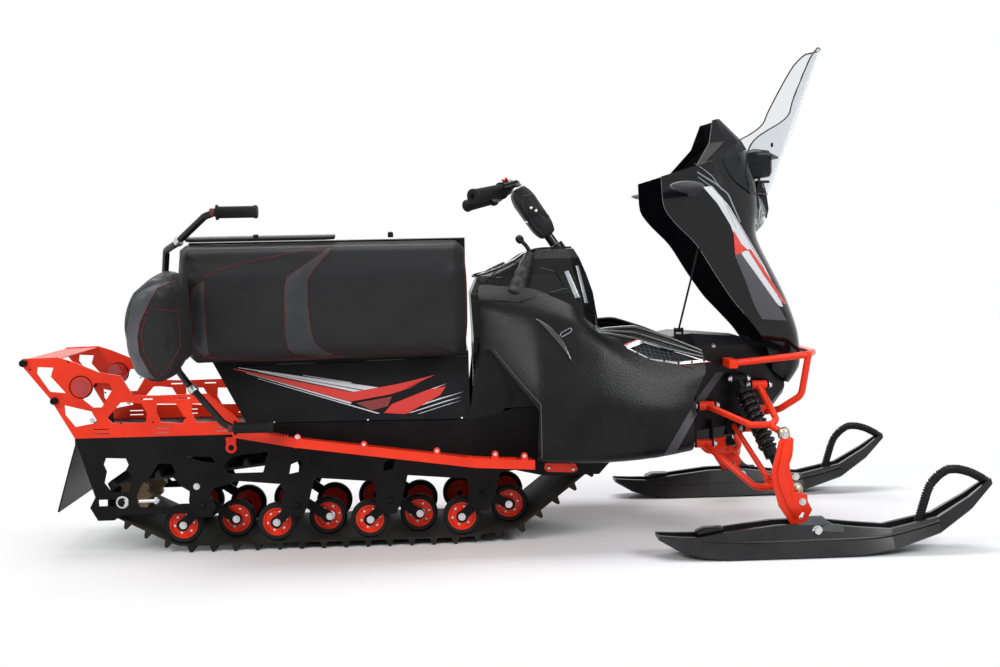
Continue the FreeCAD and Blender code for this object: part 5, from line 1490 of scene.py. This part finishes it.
def make_console_pieces():
    """Shift lever, ribbed strips, creases, rim, dial and buttons of the console."""
    tree = surface(NODES["dash_console"])
    make_shift_lever(tree)
    strips = []
    for upper, lower in (
        ([(564.5, 272), (575, 298)], [(568.5, 271), (580, 297)]),
        ([(575.6, 266), (584.6, 303)], [(578.6, 266), (588, 303)]),
    ):
        rows = []
        for step in range(41):
            a, b = along(upper, step / 40), along(lower, step / 40)
            rise = 1.2 if step % 2 else 3.2
            row = []
            for share in (0, 0.25, 0.5, 0.75, 1):
                row.append(seen(tree, *a.lerp(b, share), rise * math.sin(math.pi * (0.1 + 0.8 * share))))
            rows.append(row)
        strips.append(give_wall(skin(rows), 0.8))
    hang_pair(join(strips), "console_ribbed_strips", "satin_silver", "chassis", 30)
    lines = [
        laid_line(tree, [(497, 262), (512, 261), (530, 266)], 1.6, 0.4),
        laid_line(tree, [(476, 292), (497, 270)], 1.4, 0.4),
        laid_line(tree, [(540, 268), (556, 272), (566, 290)], 1.2, 0.4),
    ]
    hang_pair(join(lines), "console_creases", "gloss_black_plastic", "chassis", 60)
    rim = wire([
        (455, -116, 775), (540, -112, 792), (622, -62, 853), (740, -62, 853), (752, 0, 854), (740, 62, 853),
        (622, 62, 853), (540, 112, 792), (455, 116, 775), (449, 0, 770), (455, -116, 775)], 3.0)
    hang(rim, "console_rim", "black_rubber", "chassis", 60)
    profile = [(0, 20), (0, 34), (5, 36), (9, 34), (9, 30), (5, 28), (5, 4)]
    dial = turned(profile, (520, 0, 792), (-0.42, 0, 0.9), 36)
    hang(dial, "console_dial", "gloss_black_plastic", "chassis")
    buttons = [((600, y, 826), (-0.5, 0, 0.87)) for y in (-30, 30)]
    hang(scatter(model_cap(9, 7), buttons), "console_buttons", "stripe_red", "chassis")


def make_bay_ridges():
    """Long moulded ridges forward over the cowl's shoulder, the vent's mesh, and a bolt on the bay."""
    tree = surface(bpy.data.objects["cowl_skin_right"], NODES["engine_bay_cover"], NODES["dash_console"])
    x_rear, x_bend, x_front = 786, 830, 1098
    runs = []
    for share in (0.97, 0.83, 0.69):
        run = []
        for step in range(25):
            x = x_rear + (x_front - x_rear) * step / 24
            shoulder, rim = at_station(x)[3:]
            drop = 0.10 * max(x_bend - x, 0) / (x_bend - x_rear)
            place = shoulder.lerp(rim, share - drop)
            near, normal, _, _ = tree.find_nearest(Vector((x, place.x, place.y)) * MM)
            run.append(near / MM + normal * 0.6)
        runs.append(wire(run, 4.8, 12))
    hang_pair(join(runs), "bay_ridges_right", "polished_ridge", "chassis", 60)
    grille = surface(NODES["vent_grilles"])
    hatch = []
    for index in range(17):
        x = 634 + index * 4.4
        hatch.append(laid_line(grille, [(x, 344), (x + 9, 368)], 1.0, 0.7, 8))
    for index in range(6):
        z = 347 + index * 3.4
        hatch.append(laid_line(grille, [(636, z - 3), (706, z + 9)], 1.0, 0.7, 16))
    hang_pair(join(hatch), "vent_mesh_right", "satin_grey", "chassis", 60)
    spots = [(seen(tree, 713, 346, 0.5), (0, -0.4, 0.9))]
    hang_pair(scatter(model_bolt(6, 5), spots), "bay_bolts_right", "bare_steel", "chassis")


# Front suspension


SHOCK_TOP, SHOCK_FOOT = Vector((1220, -170, 460)), Vector((1305, -300, 196))
KING_PIN_AXIS = Vector((-0.2147, 0, 0.9767))


def make_suspension_pieces():
    """Pivot nuts, ball cups, spring coils, the horns and the tie rods' bushes."""
    nuts = []
    pivots = (
        (1123, 170, 383, 29), (1284, 150, 438, 29), (1114, 170, 272, 29), (1262, 150, 312, 29),
        (1220, 170, 460, 23),
    )
    for x, y, z, reach in pivots:
        for way in (-1, 1):
            for side in (-1, 1):
                nuts.append(((x + way * reach, side * y, z), (way, 0, 0)))
    hang(scatter(model_bolt(8, 8), nuts), "pivot_nuts", "bare_steel", "chassis")
    for name, centre in (("upper", Vector((1300, -352, 324.2))), ("lower", Vector((1335, -352, 165)))):
        profile = [(0, 6), (0, 12), (3, 15.5), (9, 17.5), (21, 17.5), (27, 15), (30, 11), (30, 6)]
        cups = turned(profile, centre - KING_PIN_AXIS * 15, KING_PIN_AXIS, 28)
        hang(both_sides(cups), "ball_cups_" + name, "brass", "chassis")
    hang(both_sides(wind_spring()), "spring_coils", "gloss_black_plastic", "chassis", 60)
    profile = [(0, 8), (0, 24), (3, 27), (9, 27), (12, 23), (12, 17), (15, 16), (15, 9), (12, 8), (12, 2)]
    horn = turned(profile, (1212, -132, 318), (0, -1, 0), 32)
    hang(both_sides(horn), "round_horns", "black_paint", "chassis")
    profile = [(0, 5), (0, 9), (3, 12.5), (11, 12.5), (14, 9), (14, 4)]
    bush = turned(profile, (1206, -118, 330), (0.57, -0.8, -0.2))
    hang(both_sides(bush), "tie_rod_bushes", "brass", "chassis")


def wind_spring():
    """Coil spring round the right shock."""
    way = (SHOCK_FOOT - SHOCK_TOP).normalized()
    side, up = frame_of(way)
    start, end = 46, (SHOCK_FOOT - SHOCK_TOP).length - 88
    turns, steps = 8.5, 14
    coil = []
    for index in range(int(turns * steps) + 1):
        share = index / (turns * steps)
        angle = 2 * math.pi * turns * share
        out = side * math.cos(angle) + up * math.sin(angle)
        coil.append(SHOCK_TOP + way * (start + (end - start) * share) + out * 24.5)
    return wire(coil, 4.2)


SKI_MIDDLE = -415
SKI_BOLT_X, SKI_BOLT_Z = 1361, 72


def make_spindle_pieces():
    """Rib and bolts of each spindle, and both heads of each ski's bolt."""
    rib = plate(
        [(1284, 306), (1304, 304), (1300, 262), (1292, 240), (1294, 214), (1304, 190), (1306, 150),
         (1330, 132), (1338, 112), (1322, 92), (1296, 128), (1272, 190), (1268, 226), (1276, 262)],
        lambda a, b, c: (a, -399.5 - c, b), 6, 2.2)
    hang_pair(rib, "spindle_rib_right", "red_paint", "ski_right_assembly")
    for side, word in ((-1, "right"), (1, "left")):
        body = "ski_" + word + "_assembly"
        places = [((x, side * 400, z), (0, side, 0)) for x, z in ((1290, 326), (1339, 139), (1320, 210))]
        hang(scatter(model_bolt(7, 7), places), "spindle_bolts_" + word, "bare_steel", body)
        ends = [
            ((SKI_BOLT_X, side * 461, SKI_BOLT_Z), (0, side, 0)),
            ((SKI_BOLT_X, side * 369, SKI_BOLT_Z), (0, -side, 0)),
        ]
        hang(scatter(model_bolt(10, 9), ends), "ski_bolts_" + word, "bare_steel", body)


def wrap_loop():
    """Cord wound round the handle loop of the right ski."""
    route = [Vector((x, SKI_MIDDLE, z)) for x, z in (
        (1652, 60), (1662, 90), (1682, 158), (1694, 184), (1714, 205), (1740, 221), (1770, 221), (1802, 212),
        (1822, 202), (1840, 192),
    )]
    count = int(sum((b - a).length for a, b in zip(route, route[1:])) / 7.2)
    profile = [(0, 9.2), (0.4, 11.2), (2.2, 12.6), (4.4, 12.6), (6.2, 11.2), (6.6, 9.2)]
    turns = []
    for index in range(count):
        here, ahead = along(route, (index + 0.1) / count), along(route, (index + 0.9) / count)
        if (ahead - here).length >= 2:
            turns.append(turned(profile, here, ahead - here, 12))
    return join(turns)


def make_ski_pieces():
    """Loop cord, ridges, saddle block, slot block and tail block of each ski."""
    wrap = wrap_loop()
    route = (
        (1010, 33, 52), (1110, 54, 48), (1250, 54, 46), (1361, 54, 48), (1480, 54, 48), (1568, 52, 52),
        (1700, 46, 88),
    )
    ridges = []
    for side in (-1, 1):
        ridges.append(wire([(x, SKI_MIDDLE + side * y, z) for x, y, z in route], 4))
    ridge = join(ridges)
    saddle = plate(
        [(1318, 62), (1404, 62), (1412, 84), (1390, 96), (1378, 110), (1344, 110), (1332, 96), (1310, 84)],
        lambda a, b, c: (a, -458 + c, b), 14, 3)
    slot = plate(
        [(1372, 64), (1432, 64), (1436, 74), (1424, 88), (1392, 88), (1372, 80)],
        lambda a, b, c: (a, -463 + c, b), 6, 2)
    tail = plate(
        [(1040, 60), (1106, 70), (1112, 80), (1060, 80), (1036, 70)], lambda a, b, c: (a, -436 + c, b), 42, 3)
    hang_pair(wrap, "ski_loop_cord_right", "black_rubber", "ski_right_assembly", 40)
    for piece, name, finish in (
        (ridge, "ski_ridges_right", "ski"), (saddle, "ski_saddle_right", "satin_grey"),
        (slot, "ski_slot_block_right", "satin_grey"), (tail, "ski_tail_block_right", "ski"),
    ):
        hang_pair(piece, name, finish, "ski_right_assembly", 40)


# Running boards and rack


def board_line(x):
    """Height and reach of the running board's outer edge."""
    stations = ((-243, 342, 228), (-60, 324, 322), (440, 255, 335), (604, 246, 338))
    for (x_a, z_a, y_a), (x_b, z_b, y_b) in zip(stations, stations[1:]):
        if x <= x_b:
            share = (x - x_a) / (x_b - x_a)
            return z_a + (z_b - z_a) * share, y_a + (y_b - y_a) * share
    return stations[-1][1:]


def make_board_teeth():
    """Saw teeth along both running boards, and their cross bars."""
    bpy.ops.mesh.primitive_cone_add(
        vertices=4, radius1=4.2 * MM, radius2=0.6 * MM, depth=7 * MM, location=(0, 0, 3 * MM))
    tooth = bpy.context.object
    work(tooth, "BEVEL", width=0.4 * MM, segments=1, limit_method="ANGLE")
    bpy.ops.object.transform_apply(location=True, rotation=True, scale=True)
    places = []
    for x_from, count in ((-232, 20), (420, 17)):
        for index in range(count):
            x = x_from + index * 8
            z, outer = board_line(x)
            places += [((x, side * (outer - 3), z + 20), (0, 0, 1)) for side in (-1, 1)]
    hang(scatter(tooth, places), "board_teeth", "red_paint", "chassis", 20)
    bars = []
    for number in range(7):
        for share in (0.3, 0.7):
            x = -20 + number * 80 + 56 * share
            z, outer = board_line(x)
            bend = (x + 6, -(outer - 40), z + 3)
            bars.append(wire([(x, -(outer - 6), z + 2), bend, (x, -228, z + 2)], 2.6, 6))
    hang(both_sides(join(bars)), "board_bars", "red_paint", "chassis", 50)


def make_board_brackets():
    """Plates at the front of the running boards and lugs at their rear, with their screws."""
    tag = plate(
        [(644, 240), (730, 234), (738, 212), (726, 204), (650, 208), (640, 218)],
        lambda a, b, c: (a, -206 - c, b), 5, 1.2)
    hang(both_sides(tag), "board_front_plates", "red_paint", "chassis")
    tree = surface(NODES["side_plate_right"])
    spot = seen(tree, 231.5, 447.5)
    lugs = [turned([(0, 6), (0, 15), (1, 16), (5, 16), (6, 15), (6, 6)], spot, (0, -1, 0), 24)]
    x, z = spot.x, spot.z
    lugs.append(plate(
        [(x - 13, z), (x + 13, z), (x + 15, z + 30), (x - 15, z + 30)],
        lambda a, b, c: (a, spot.y - c, b), 5.4, 1))
    hang(both_sides(join(lugs)), "board_rear_lugs", "red_paint", "chassis")
    heads = mirror_places([(spot.x, -spot.y + 6, spot.z)])
    hang(scatter(model_cap(8, 5), heads), "board_lug_bolts", "black_paint", "chassis")
    screws = mirror_places([(654, 211, 220), (724, 211, 214)])
    hang(scatter(model_cap(5, 4), screws), "board_plate_screws", "bare_steel", "chassis")


TAIL_LAMP = Vector((-668, 200, 487))


def make_rack_pieces():
    """Bolts and rivets of the rack, and the lenses and rims of its red lamps."""
    reach = -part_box("rack_side_right")[0][1] / MM
    bolts = mirror_places([(-640, reach, 392)])
    hang(scatter(model_bolt(5, 5), bolts), "rack_bolts", "bare_steel", "chassis")
    spots = ((-806, 540), (-560, 382), (-470, 382), (-380, 392), (-700, 560), (-600, 470))
    rivets = mirror_places((x, reach, z) for x, z in spots)
    hang(scatter(model_cap(2.6, 1.2), rivets), "rack_rivets", "black_paint", "chassis")
    rings = [(0, 6), (0, 26), (2, 27), (3, 22), (4, 24), (5, 19), (6, 21), (7, 15), (8, 16), (9, 4)]
    edge = [(0, 30), (0, 33), (4, 33), (6, 31.5), (6, 30)]
    lenses, rims = [], []
    for side in (-1, 1):
        middle = (TAIL_LAMP.x, side * TAIL_LAMP.y, TAIL_LAMP.z)
        lenses.append(turned(rings, middle, (0, side, 0), 32))
        rims.append(hoop(edge, middle, (0, side, 0), 40))
    hang(join(lenses), "lamp_lenses", "red_lens", "chassis")
    hang(join(rims), "lamp_rims", "black_rubber", "chassis")


def make_box_seams():
    """Seams along both sides of the storage box, and the screws under them."""
    tree = surface(NODES["storage_box"])
    line = laid_line(tree, [(240, 424), (360, 421), (468, 419)], 1.6, 0.3, 30)
    edge = laid_line(tree, [(236, 366), (350, 362), (468, 356)], 1.4, 0.3, 30)
    hang_pair(join([line, edge]), "box_seams_right", "gloss_black_plastic", "chassis", 60)
    places = [(seen(tree, *spot, 0.2), (0, -1, 0)) for spot in ((274, 422.5), (368, 420), (462, 418))]
    hang_pair(scatter(model_cap(3.4, 2.4), places), "box_screws_right", "bare_steel", "chassis")


def make_tunnel_pieces():
    """Rings, nuts and track adjusters at both ends of the rear axle."""
    end = (-565, -PLATE_FACE, 155)
    axle = hoop([(0, 12), (0, 18), (4, 18), (5.5, 16.5), (5.5, 13), (4, 12)], end, (0, -1, 0), 32)
    core = turned([(0, 6), (0, 11.6), (6, 11.6), (9, 9), (10, 5)], end, (0, -1, 0), 24)
    hang(both_sides(core), "rear_axle_nuts", "black_paint", "chassis")
    screw = turned([(0, 3), (0, 6), (56, 6), (58, 3)], (-516, -PLATE_FACE - 8, 158), (1, 0, 0), 16)
    nut = turned([(0, 4), (0, 11), (8, 11), (8, 4)], (-472, -PLATE_FACE - 8, 158), (1, 0, 0), 6)
    hang(both_sides(join([axle, screw, nut])), "track_adjusters", "bare_steel", "chassis")


def main():
    """Dress the machine piece by piece, from the seat to the tunnel, and set it in the studio."""
    bpy.ops.object.select_all(action="DESELECT")
    mix_finishes()
    dress_nodes()
    set_camera()
    bpy.context.view_layer.update()
    make_cushion()
    make_backrest_pad()
    dress_passenger_handle()
    make_seat_trim()
    make_box_stripes()
    make_cowls()
    make_hood()
    make_shroud_trim()
    make_screen()
    make_mirror_pieces()
    make_lamp_detail()
    make_roller_pieces()
    make_plate_bolts()
    make_steering_pad()
    make_bar_grips()
    make_console_pieces()
    make_bay_ridges()
    make_suspension_pieces()
    make_spindle_pieces()
    make_ski_pieces()
    make_board_teeth()
    make_board_brackets()
    make_rack_pieces()
    make_box_seams()
    make_tunnel_pieces()
    set_studio()


main()
